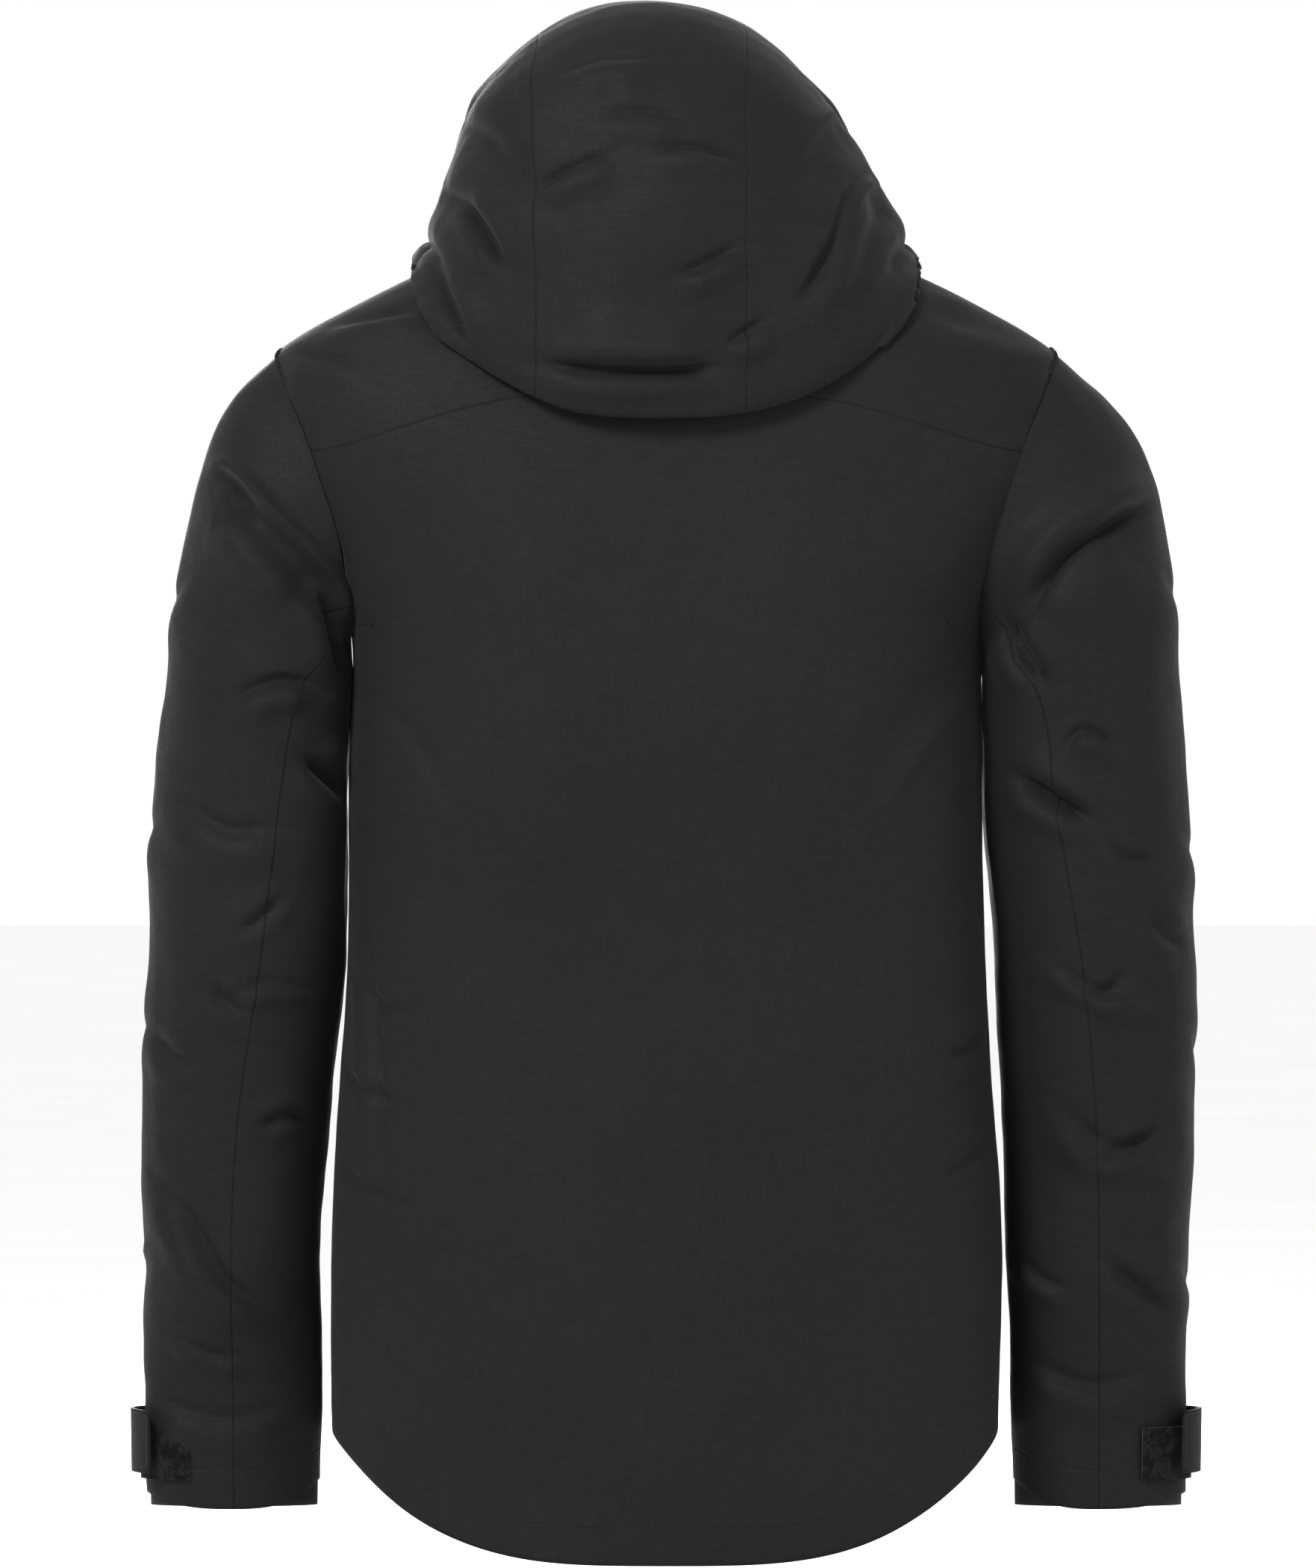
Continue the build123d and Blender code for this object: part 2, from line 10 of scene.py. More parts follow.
import bmesh
import bpy
import numpy as np
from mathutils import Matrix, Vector


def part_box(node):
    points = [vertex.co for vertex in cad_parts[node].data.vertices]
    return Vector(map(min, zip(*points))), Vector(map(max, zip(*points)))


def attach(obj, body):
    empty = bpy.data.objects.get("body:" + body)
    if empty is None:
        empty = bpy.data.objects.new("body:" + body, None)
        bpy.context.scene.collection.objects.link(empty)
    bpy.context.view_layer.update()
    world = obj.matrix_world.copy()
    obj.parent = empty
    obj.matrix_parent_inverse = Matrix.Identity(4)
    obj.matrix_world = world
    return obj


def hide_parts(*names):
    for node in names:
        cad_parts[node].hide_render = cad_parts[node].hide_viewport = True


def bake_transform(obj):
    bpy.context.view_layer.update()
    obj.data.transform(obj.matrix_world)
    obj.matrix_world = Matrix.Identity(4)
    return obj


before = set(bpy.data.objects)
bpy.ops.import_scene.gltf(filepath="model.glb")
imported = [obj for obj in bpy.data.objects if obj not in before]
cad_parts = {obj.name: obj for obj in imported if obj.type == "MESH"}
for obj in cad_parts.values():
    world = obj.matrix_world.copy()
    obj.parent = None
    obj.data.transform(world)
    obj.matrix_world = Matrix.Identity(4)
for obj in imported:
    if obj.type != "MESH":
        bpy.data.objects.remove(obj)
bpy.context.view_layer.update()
MM = 0.001

# ---- the surfaces that the CAD model's cloth follows, in millimetres
CENTRE_Y = -65.2
ZIP_LINE_Z, ZIP_LINE_DEPTH, ZIP_LINE_LEAN = -75.0, 98.0, 0.078
TRUNK_SIDES = [
    (-800, 197, 132, 2.5), (-700, 200, 130, 2.5), (-600, 200, 126, 2.5), (-500, 195, 122, 2.5),
    (-400, 191, 121, 2.5), (-300, 189, 124, 2.5), (-228, 190, 126, 2.5), (-190, 206, 124, 2.7),
    (-144, 225, 119, 3.0), (-100, 236, 112, 3.0), (-82, 237, 107, 2.95), (-75, 236, 105, 2.9),
]
SHOULDER_TOP = [
    (-66, 234, 96.8, 102, 2.8), (-54, 218, 89, 97, 2.7), (-39, 192, 76, 90, 2.5),
    (-20, 155, 58, 79, 2.4), (-2, 117, 42, 66, 2.3), (16, 68, 24, 50, 2.2),
]
ARMHOLE_TOP_Z, ARMPIT_Z, ARMHOLE_ANGLE = -62.0, -228.0, math.radians(30)
ARMHOLE_MIDDLE, ARMHOLE_HALF = (ARMHOLE_TOP_Z + ARMPIT_Z) / 2, (ARMHOLE_TOP_Z - ARMPIT_Z) / 2
BACK_YOKE_Z, FRONT_YOKE_Z = (-86.0, -125.0), (-108.0, -128.0)
HEM_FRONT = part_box("front_panel_left")[0].z / MM
HEM_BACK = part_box("back_panel")[0].z / MM
HEM_SIDE = -708.0
HEM_ROUNDING = 2.8
SLEEVE_GAP = 0.5  # between a sleeve and the trunk where it hangs against it
HOLE_POINTS = 81  # down each side of an armhole
NECK = (82.0, 86.0, -12.0, 2.6)
COLLAR_HEIGHT = 60.0
FRONT_WINDOW = 9.0
CLOTH = 1.6  # thickness of the cloth that is seen
TRUNK_LOW_Z, TRUNK_TOP_Z = -800, 16
SHOULDER_Z = -90.0, 16.0  # heights between which the shoulder's surface is looked for


def zip_line(z):
    return ZIP_LINE_DEPTH - (z - ZIP_LINE_Z) * ZIP_LINE_LEAN


TRUNK = [(z, w, zip_line(z), back, p) for z, w, back, p in TRUNK_SIDES] + SHOULDER_TOP


# ---- small helpers


def mix(a, b, t):
    return a + (b - a) * t


def smooth(x):
    x = np.clip(x, 0, 1)
    return x * x * (3 - 2 * x)


def power(value, exponent):
    return np.sign(value) * np.abs(value) ** exponent


def station(table, where):
    """The columns of a table after the first, on a smooth curve through its rows."""
    rows = np.array(table, float)
    where = np.asarray(where, float)
    x = rows[:, 0]
    i = np.clip(np.searchsorted(x, where, side="right") - 1, 0, len(x) - 2)
    slopes = np.zeros_like(rows[:, 1:])
    slopes[1:-1] = (rows[2:, 1:] - rows[:-2, 1:]) / (x[2:] - x[:-2])[:, None]
    slopes[0] = (rows[1, 1:] - rows[0, 1:]) / (x[1] - x[0])
    slopes[-1] = (rows[-1, 1:] - rows[-2, 1:]) / (x[-1] - x[-2])
    span = x[i + 1] - x[i]
    t = ((where - x[i]) / span)[..., None]
    a, b = rows[i][..., 1:], rows[i + 1][..., 1:]
    ma, mb = slopes[i] * span[..., None], slopes[i + 1] * span[..., None]
    values = (
        (2 * t**3 - 3 * t**2 + 1) * a + (t**3 - 2 * t**2 + t) * ma
        + (3 * t**2 - 2 * t**3) * b + (t**3 - t**2) * mb
    )
    return np.moveaxis(values, -1, 0)


def points(x, y, z):
    """An array of points from coordinates given from the middle of the trunk."""
    x, y, z = np.broadcast_arrays(x, y, z)
    return np.stack([x, y + CENTRE_Y, z], -1).astype(float)


# ---- the trunk


def trunk(angle, z):
    """Angle 0 is the centre front, a quarter turn is the wearer's left and a half turn the back."""
    half_width, front, back, p = station(TRUNK, z)
    s, c = np.sin(angle), np.cos(angle)
    reach = np.where(c > 0, front, back)
    return points(half_width * power(s, 2 / p), -reach * power(c, 2 / p), z)


def trunk_angle(x, z):
    half_width, _, _, p = station(TRUNK, z)
    return np.arcsin(np.clip((x / half_width) ** (p / 2), 0, 1))


def trunk_fill(x, y, z):
    """Under 1 inside the trunk and over 1 outside it."""
    half_width, front, back, p = station(TRUNK, np.clip(z, TRUNK_LOW_Z, TRUNK_TOP_Z))
    inside = np.abs(x / half_width) ** p + np.abs(y / np.where(y > 0, back, front)) ** p
    return np.where(z > TRUNK_TOP_Z, 2.0, inside)


def halved(shape, low, high, too_low):
    """The values between two limits at which a test stops saying that they are too low."""
    low, high = np.full(shape, low), np.full(shape, high)
    for _ in range(30):
        value = (low + high) / 2
        short = too_low(value)
        low, high = np.where(short, value, low), np.where(short, high, value)
    return value


def neck_z(angle):
    """Where the shoulder's surface meets the neck seam, along a line of constant angle."""
    def outside_neck(z):
        at = trunk(angle, z)
        x, y = at[..., 0] / NECK[0], (at[..., 1] - CENTRE_Y - NECK[2]) / NECK[1]
        return np.abs(x) ** NECK[3] + np.abs(y) ** NECK[3] > 1

    return halved(np.shape(angle), *SHOULDER_Z, outside_neck)


def shoulder_z(x, y):
    """Height of the shoulder's surface over a point, seen from above."""
    x, y = np.broadcast_arrays(x, y)
    return halved(x.shape, *SHOULDER_Z, lambda z: ~(trunk_fill(x, y, z) > 1))


def oval(angle, height=0.0, depth=0.0):
    """The neck seam seen from above, and the collar's surface at a height over it."""
    lean = depth + ZIP_LINE_LEAN * height
    x = (NECK[0] - lean) * power(np.sin(angle), 2 / NECK[3])
    y = NECK[2] - (NECK[1] - lean) * power(np.cos(angle), 2 / NECK[3])
    return x, y


def collar(angle, height, depth=0.0):
    x, y = oval(angle, height, depth)
    return points(x, y, shoulder_z(*oval(angle)) + height)


def armhole(theta):
    """The armhole's edge on the left: 0 is the front, a quarter turn the top, a half turn the back."""
    z = ARMHOLE_MIDDLE + ARMHOLE_HALF * np.sin(theta)
    return trunk(math.pi / 2 - ARMHOLE_ANGLE * np.cos(theta), z)


def side_angle(z, side):
    height = (z - ARMHOLE_MIDDLE) / ARMHOLE_HALF
    return math.pi / 2 + side * ARMHOLE_ANGLE * np.sqrt(np.clip(1 - height**2, 0, None))


CHEST = np.array([0.0, CENTRE_Y, -115.0])  # a point inside, from which all of the shoulder is seen
RAY_SHARES = 0.3, 1.8  # how far along a ray from there its end can be off the shoulder's surface


def onto_shoulder(p):
    """Where rays from inside the chest through the points meet the trunk's surface."""
    ray = p - CHEST

    def in_trunk(reach):
        q = CHEST + ray * reach[..., None]
        return trunk_fill(q[..., 0], q[..., 1] - CENTRE_Y, q[..., 2]) < 1

    return CHEST + ray * halved(p.shape[:-1], *RAY_SHARES, in_trunk)[..., None]


def hem_z(middle, bend):
    """Height of the hem: bend is 0 at the middle of the front or back, and 1 at the side seam."""
    return mix(middle, HEM_SIDE, bend**HEM_ROUNDING)


def yoke_z(seam, bend):
    return mix(*seam, bend**1.5)


def edge_levels():
    """Heights of the rows where they meet the side seam, the armhole and the shoulder seam."""
    hole = np.linspace(0, math.pi, HOLE_POINTS)[1:-1]
    neck = float(neck_z(math.pi / 2))
    return np.concatenate([
        np.linspace(HEM_SIDE, ARMPIT_Z, 150),
        ARMHOLE_MIDDLE - ARMHOLE_HALF * np.cos(hole),
        np.linspace(ARMHOLE_TOP_Z, neck, 28),
    ])


def evened(levels, edge):
    """Rows that follow the levels at the edge, where edge is 1, and are evenly spaced elsewhere."""
    even = np.linspace(levels[0], levels[-1], len(levels))
    return mix(even[None, :], levels[None, :], edge**6)


def back_grid(columns=221):
    """The back and its yoke, from the hem to the neck seam, right side seam to left."""
    q = np.linspace(-1, 1, columns)[:, None]
    levels = evened(edge_levels(), np.abs(q))
    side = side_angle(edge_levels()[None, :], 1)
    side = mix(side_angle(levels, 1), side, np.abs(q) ** 6)
    angle = math.pi - q * (math.pi - side)
    bend = np.abs(np.sin(q * math.pi / 2))
    seam = yoke_z(BACK_YOKE_Z, bend)
    low = mix(hem_z(HEM_BACK, bend), seam, (levels - HEM_SIDE) / (BACK_YOKE_Z[1] - HEM_SIDE))
    neck = neck_z(angle[:, -1])[:, None]
    high = mix(seam, neck, (levels - BACK_YOKE_Z[1]) / (levels[:, -1:] - BACK_YOKE_Z[1]))
    return trunk(angle, np.where(levels < BACK_YOKE_Z[1], low, high))


def low_rows_share(levels):
    """How far up to the yoke seam the last row below it is."""
    below = levels[levels < FRONT_YOKE_Z[1]]
    return (below[-1] - HEM_SIDE) / (FRONT_YOKE_Z[1] - HEM_SIDE)


def front_grid(columns=101):
    """The left front and its yoke, from the zip to the side seam."""
    levels = edge_levels()
    s = np.linspace(0, 1, columns)[:, None]
    low_rows = evened(levels[levels < FRONT_YOKE_Z[1]], s)
    t = (low_rows - HEM_SIDE) / (low_rows[:, -1:] - HEM_SIDE) * low_rows_share(levels)
    bend = np.sin(s * math.pi / 2)
    seam = yoke_z(FRONT_YOKE_Z, bend)
    z = mix(hem_z(HEM_FRONT, bend), seam, t)
    angle = mix(trunk_angle(FRONT_WINDOW, z), side_angle(low_rows, -1), s)
    low = trunk(angle, z)

    high_rows = levels[None, levels >= FRONT_YOKE_Z[1]]
    t = ((high_rows - FRONT_YOKE_Z[1]) / (levels[-1] - FRONT_YOKE_Z[1]))[..., None]
    angle = mix(trunk_angle(FRONT_WINDOW, seam), side_angle(FRONT_YOKE_Z[1], -1), s)
    start = trunk(angle, seam)
    neck_start = math.asin((FRONT_WINDOW / NECK[0]) ** (NECK[3] / 2))
    x, y = oval(mix(neck_start, math.pi / 2, s))
    end = points(x, y, shoulder_z(x, y))
    edge = trunk(side_angle(high_rows, -1), high_rows)
    straight = mix(start[-1], end[-1], t)
    high = mix(start, end, t) + (edge - straight) * s[..., None] ** 2
    return np.concatenate([low, onto_shoulder(high)], axis=1)


# ---- the sleeves: where along, outer x (left, right), outer z, inner x (left, right), inner z,
# centre y, half depth
SLEEVES = [
    (0.0, (237, 237), -63, (192, 192), -229, 2, 72),
    (0.1, (261, 267), -92, (190, 190), -243, 2, 74),
    (0.2, (281, 292), -140, (187, 187), -258, 1, 76),
    (0.3, (292, 302), -195, (185, 185), -278, -2, 77),
    (0.4, (300, 308), -260, (185, 185), -314, -4, 76),
    (0.5, (308, 314), -350, (187, 188), -368, -8, 72),
    (0.6, (312, 317), -440, (192, 198), -444, -12, 66),
    (0.7, (315, 317), -520, (202, 202), -520, -16, 58),
    (0.8, (314, 314), -600, (207, 204), -600, -20, 49),
    (0.9, (313, 313), -680, (206, 206), -680, -23, 40),
    (1.0, (312, 312), -756, (207, 207), -756, -26, 34),
]
SLEEVE = {
    side: [(along, outer[k], z, inner[k], *rest) for along, outer, z, inner, *rest in SLEEVES]
    for k, side in enumerate((1, -1))
}
ARMHOLE_BLEND = 0.16


def sleeve_tube(theta, along, side):
    outer_x, outer_z, inner_x, inner_z, y, half_depth = station(SLEEVE[side], along)
    t = (1 + np.sin(theta)) / 2
    return points(
        mix(inner_x, outer_x, t), y - half_depth * np.cos(theta), mix(inner_z, outer_z, t)
    )


def sleeve(theta, along, side):
    """A sleeve's surface. Theta is as on the armhole, along runs from there to the cuff's end."""
    start = armhole(theta) - sleeve_tube(theta, np.zeros_like(along), side)
    return sleeve_tube(theta, along, side) + start * (1 - smooth(along / ARMHOLE_BLEND))[..., None]


# ---- the hood: where along from the neck seam to the face opening, then top y and z, low y and z
# of each arch, its half width and its power
HOOD = [
    (0.00, 78, -6, -12, 6, 87, 2.4), (0.06, 104, -62, -14, 4, 118, 2.3),
    (0.11, 121, -97, -16, -1, 142, 2.2), (0.14, 130, -107, -18, -6, 149, 2.1),
    (0.18, 138, -92, -20, -8, 150, 2.1), (0.30, 143, -35, -20, -8, 149, 2.1),
    (0.42, 139, 35, -20, -6, 147, 2.05), (0.55, 116, 98, -22, -4, 142, 2.0),
    (0.66, 75, 134, -26, 0, 134, 2.0), (0.76, 20, 146, -36, 2, 131, 2.0),
    (0.86, -45, 143, -58, 2, 125, 2.0), (0.94, -100, 126, -86, 4, 114, 2.05),
    (1.00, -136, 98, -106, 8, 103, 2.1),
]
HOOD_NECK = (math.radians(90), math.radians(15))  # where its side edges run on the neck seam
HOOD_WIDEST = 0.82  # how far across each arch is at its widest, before it turns in to the neck
HOOD_TUCK = 0.07  # how much of the arch it keeps going past that
HOOD_CLEAR = 3.0  # the hood's gap from the shoulders
SOFTNESS = 2.5  # how gradually a surface is pushed off another
HOOD_BACK_FULLNESS = 0.5  # under 1, an arch stays far back until near its ends
HOOD_LEAN, HOOD_LEAN_HEIGHT = 12.0, 130  # how far it leans to the wearer's left, from what height
HOOD_MIDDLE, HOOD_SEAM = 15.0, 62.0  # x of the hood's middle, and its seams' distance from there
HOOD_LENGTH = 430  # from the nape over the top to the brim


def push(short):
    """How far to move a point that is short of a surface: its shortfall, but 0 if it is beyond it."""
    return SOFTNESS * np.log1p(np.exp(np.clip(short / SOFTNESS, -30, 30)))


def clear_of_trunk(p):
    """Points that would lie in the trunk, moved out along rays from the chest to lie off it."""
    ray = p - CHEST
    reach = np.linalg.norm(ray, axis=-1)
    surface = np.linalg.norm(onto_shoulder(p) - CHEST, axis=-1)
    return p + ray / reach[..., None] * push(surface + HOOD_CLEAR - reach)[..., None]


def hood(across, along):
    """Across runs from -1 at the right ear's side to 1 at the left, along from nape to brow."""
    top_y, top_z, low_y, low_z, half_width, p = station(HOOD, along)
    theta = np.clip(np.abs(across) / HOOD_WIDEST, 0, 1) * math.pi / 2
    c = power(np.cos(theta), 2 / p)
    fullness = mix(HOOD_BACK_FULLNESS, 1.0, smooth((along - 0.14) / 0.36))
    arch = points(
        half_width * power(np.sin(theta), 2 / p),
        mix(low_y, top_y, power(c, fullness)), mix(low_z, top_z, c),
    )
    angle = mix(HOOD_NECK[0], HOOD_NECK[1], along)
    x, y = oval(angle, 4.0, -3.0)
    edge = points(x, y, shoulder_z(*oval(angle)) + 5.0)
    onward = arch + points(0, low_y - top_y, low_z - top_z) * HOOD_TUCK
    onward[..., 1] -= CENTRE_Y * HOOD_TUCK
    t = np.clip((np.abs(across) - HOOD_WIDEST) / (1 - HOOD_WIDEST), 0, 1)[..., None]
    p = (1 - t) ** 2 * arch + 2 * t * (1 - t) * onward + t**2 * edge
    p[..., 0] *= np.sign(across)
    p[..., 0] += HOOD_LEAN * smooth(p[..., 2] / HOOD_LEAN_HEIGHT)
    return clear_of_trunk(p)


# ---- strokes


def curve_through(rows, steps=10):
    """A smooth line through a few points."""
    rows = np.array(rows, float)
    if len(rows) == 2:
        return rows[0] + (rows[1] - rows[0]) * np.linspace(0, 1, steps)[:, None]
    t = np.arange(len(rows), dtype=float)
    table = np.column_stack([t, rows])
    return station([tuple(r) for r in table], np.linspace(0, t[-1], steps * (len(rows) - 1) + 1)).T


def line_distance(p, line):
    """Signed distance of flat points from a line, and how far along it the nearest place is."""
    a, b = line[:-1], line[1:]
    d = b - a
    length = np.maximum(np.hypot(d[:, 0], d[:, 1]), 1e-9)
    rel = p[:, None, :] - a[None]
    t = np.clip((rel * d[None]).sum(-1) / length**2, 0, 1)
    off = rel - d[None] * t[..., None]
    distance = np.hypot(off[..., 0], off[..., 1])
    best = distance.argmin(1)
    rows = np.arange(len(p))
    cross = d[best, 0] * rel[rows, best, 1] - d[best, 1] * rel[rows, best, 0]
    start = np.concatenate([[0], np.cumsum(length)])
    along = (start[best] + t[rows, best] * length[best]) / start[-1]
    return distance[rows, best] * np.sign(cross), along


def fold(u):
    """A soft ridge that drops sharply into a narrow valley on its right side."""
    return np.exp(-((u + 0.8) ** 2) * 1.3) - 0.9 * np.exp(-((u - 0.25) ** 2) * 9.0)


def crease(u):
    """A narrow valley between two low shoulders."""
    return -1.0 / (1 + (1.8 * u) ** 2) ** 2 + 0.4 * np.exp(-((np.abs(u) - 1.3) ** 2) * 1.5)


def ridge(u):
    return np.exp(-(u**2))


STROKE_GAIN = 2.3
PLANES = {  # the two axes that a stroke is drawn in, and the way its cloth faces
    "back": ((-1, 0, 0), (0, 0, 1), (0, 1, 0)),
    "front": ((1, 0, 0), (0, 0, 1), (0, -1, 0)),
    "left": ((0, 1, 0), (0, 0, 1), (1, 0, 0)),
    "right": ((0, -1, 0), (0, 0, 1), (-1, 0, 0)),
}


def press(vertices, normals, strokes):
    """How far the strokes raise each vertex along its normal."""
    height = np.zeros(len(vertices))
    for plane, shape, width, rise, *line in strokes:
        right, up, towards = (np.array(v, float) for v in PLANES[plane])
        flat = np.column_stack([vertices @ right, vertices @ up])
        facing = smooth((normals @ towards - 0.12) * 2.2)
        path = curve_through(line)
        near = facing > 0.01
        for k in (0, 1):
            near &= (flat[:, k] > path[:, k].min() - 4 * width)
            near &= (flat[:, k] < path[:, k].max() + 4 * width)
        index = np.nonzero(near)[0]
        if not len(index):
            continue
        distance, along = line_distance(flat[index], path)
        taper = smooth(along / 0.3) * smooth((1 - along) / 0.3) * 0.85 + 0.15
        reach = np.where((along <= 0) | (along >= 1), 0.75, 1.0)
        fade = np.exp(-np.maximum(0, np.abs(distance) / width - 2.5))
        raised = STROKE_GAIN * rise * shape(distance / width) * taper
        height[index] += raised * reach * facing[index] * fade
    return height


def ripple(p, size, waves=14, seed=1):
    """A gentle unevenness, the same at every run."""
    rng = np.random.default_rng(seed)
    total = np.zeros(len(p))
    for _ in range(waves):
        direction = rng.normal(size=3)
        direction /= np.linalg.norm(direction)
        wave = size * rng.uniform(0.6, 1.8)
        total += np.sin(p @ direction * 2 * math.pi / wave + rng.uniform(0, 6.28))
    return total / math.sqrt(waves)


def drawn(view, *strokes):
    """Strokes drawn in a view: shape, width, rise, then its points, across and up in turn."""
    return [(view, *stroke[:3], *zip(stroke[3::2], stroke[4::2])) for stroke in strokes]


def twice(shape, width, rise, *line):
    """A stroke, and its copy on the other side of the middle."""
    copy = [-value if k % 2 == 0 else value for k, value in enumerate(line)]
    return (shape, width, rise, *line), (shape, width, -rise if shape is fold else rise, *copy)


BODY_STROKES = drawn(
    "back",
    (fold, 9, 1.6, -181, -402, -176, -450, -170, -505, -171, -579),
    (crease, 6, 1.6, -190, -430, -172, -452, -150, -458),
    (crease, 6, 1.4, -192, -492, -174, -506, -158, -508),
    (crease, 7, 1.3, -193, -548, -172, -566, -146, -571),
    (crease, 6, 1.3, 192, -462, 180, -478, 164, -484),
    (crease, 6, 1.1, 193, -530, 176, -548, 158, -553),
    (fold, 16, 0.9, -188, -262, -150, -300, -120, -352),
    (fold, 16, -0.9, 186, -262, 150, -296, 118, -345),
    (ridge, 40, 2.6, -95, -140, -80, -260, -88, -420),
    (ridge, 40, 2.6, 95, -140, 84, -270, 90, -420),
    (fold, 9, 1.6, -209, -51, -170, -46, -139, -42),
    (fold, 9, 1.5, -227, -66, -200, -72, -178, -74),
    (fold, 9, -1.6, 154, -32, 200, -42, 232, -53),
) + drawn(
    "front",
    *twice(fold, 15, 1.6, 184, -262, 150, -300, 112, -356),
    (crease, 7, 1.5, 186, -440, 165, -462, 140, -468),
    (crease, 7, 1.5, -186, -455, -165, -478, -142, -482),
    *twice(fold, 14, 1.7, 205, -150, 150, -176, 90, -184),
    *twice(ridge, 30, 0.7, 62, -430, 70, -520, 64, -650),
    *twice(ridge, 9, -0.7, 112, -580, 112, -597, 112, -614),
    (ridge, 9, -0.6, 72, -364, 72, -383, 72, -400),
    *twice(crease, 10, 1.4, 30, -96, 80, -120, 130, -130),
)
LEFT_STROKES = drawn(
    "back",
    (fold, 13, -5.0, -276, -140, -261, -136, -232, -166, -202, -198, -190, -218),
    (ridge, 20, 4.0, -262, -158, -240, -186, -216, -214),
    (crease, 9, 3.4, -204, -204, -197, -230, -194, -262),
    (crease, 10, 4.0, -215, -306, -198, -320, -184, -336),
    (fold, 10, 3.0, -259, -276, -240, -266, -225, -263, -208, -267),
    (fold, 14, 2.4, -296, -330, -262, -352, -226, -350),
    (fold, 12, 2.6, -306, -560, -286, -586, -268, -616, -253, -630, -227, -642),
    (ridge, 18, 2.0, -300, -600, -280, -640, -262, -664),
    (crease, 9, 2.2, -272, -440, -262, -452, -248, -458),
    (crease, 9, 1.6, -310, -470, -292, -486, -276, -488),
    (fold, 12, 1.6, -310, -690, -270, -704, -222, -698),
    (crease, 6, 2.0, -256, -412, -242, -402, -226, -388),
    (fold, 7, 1.6, -264, -452, -238, -442, -209, -446),
    (fold, 7, 1.6, -296, -650, -272, -664, -246, -666),
    (crease, 6, 1.8, -244, -528, -226, -520, -212, -526),
) + drawn(
    "left",
    (fold, 18, 0.8, -118, -190, -70, -216, -18, -200),
    (fold, 16, 0.7, -125, -330, -80, -352, -30, -346),
    (crease, 12, 0.8, -128, -452, -92, -470, -52, -462),
    (fold, 12, -0.6, -120, -590, -88, -606, -56, -596),
) + drawn(
    "front",
    (fold, 12, 3.6, 276, -140, 246, -170, 214, -206, 200, -232),
    (fold, 11, 3.0, 270, -190, 240, -232, 210, -262),
    (crease, 9, 3.4, 298, -300, 262, -318, 222, -312),
    (crease, 9, 3.6, 304, -372, 262, -392, 216, -380),
    (fold, 10, 2.8, 308, -432, 268, -452, 222, -444),
    (crease, 9, 2.0, 306, -560, 268, -580, 226, -574),
)
RIGHT_STROKES = drawn(
    "back",
    (fold, 13, 4.6, 292, -150, 267, -162, 233, -186, 212, -222),
    (ridge, 20, 3.6, 276, -184, 250, -204, 228, -232),
    (crease, 9, 3.8, 203, -222, 212, -243, 226, -264),
    (crease, 9, 5.0, 206, -316, 228, -330, 255, -345),
    (fold, 8, 2.6, 236, -303, 249, -292, 268, -302),
    (fold, 11, 2.2, 250, -455, 264, -448, 279, -434),
    (crease, 9, 2.0, 286, -398, 300, -412, 312, -418),
    (fold, 12, 2.0, 236, -520, 262, -540, 300, -536),
    (crease, 9, 2.6, 262, -606, 281, -622, 304, -640),
    (fold, 12, 1.8, 212, -668, 252, -684, 292, -676),
    (ridge, 18, 2.2, 288, -560, 292, -600, 286, -632),
    (fold, 7, 1.8, 228, -430, 256, -446, 288, -448),
    (crease, 6, 2.0, 252, -548, 274, -540, 296, -524),
    (fold, 7, 1.6, 212, -606, 226, -620, 242, -626),
    (crease, 6, 1.8, 262, -358, 276, -366, 292, -364),
) + drawn(
    "right",
    (fold, 18, 0.7, 20, -196, 70, -214, 118, -192),
    (fold, 16, 0.7, 28, -352, 80, -366, 122, -340),
    (crease, 12, 0.7, 52, -470, 92, -486, 126, -470),
    (fold, 12, 0.6, 56, -610, 88, -624, 118, -608),
) + drawn(
    "front",
    (fold, 12, -3.6, -276, -140, -246, -174, -214, -210, -200, -236),
    (fold, 11, -2.6, -272, -200, -240, -238, -212, -270),
    (crease, 9, 3.4, -302, -312, -262, -330, -222, -322),
    (crease, 9, 3.6, -306, -384, -262, -402, -216, -392),
    (fold, 10, -2.8, -310, -446, -268, -462, -222, -456),
    (crease, 9, 2.0, -308, -548, -268, -566, -226, -560),
)
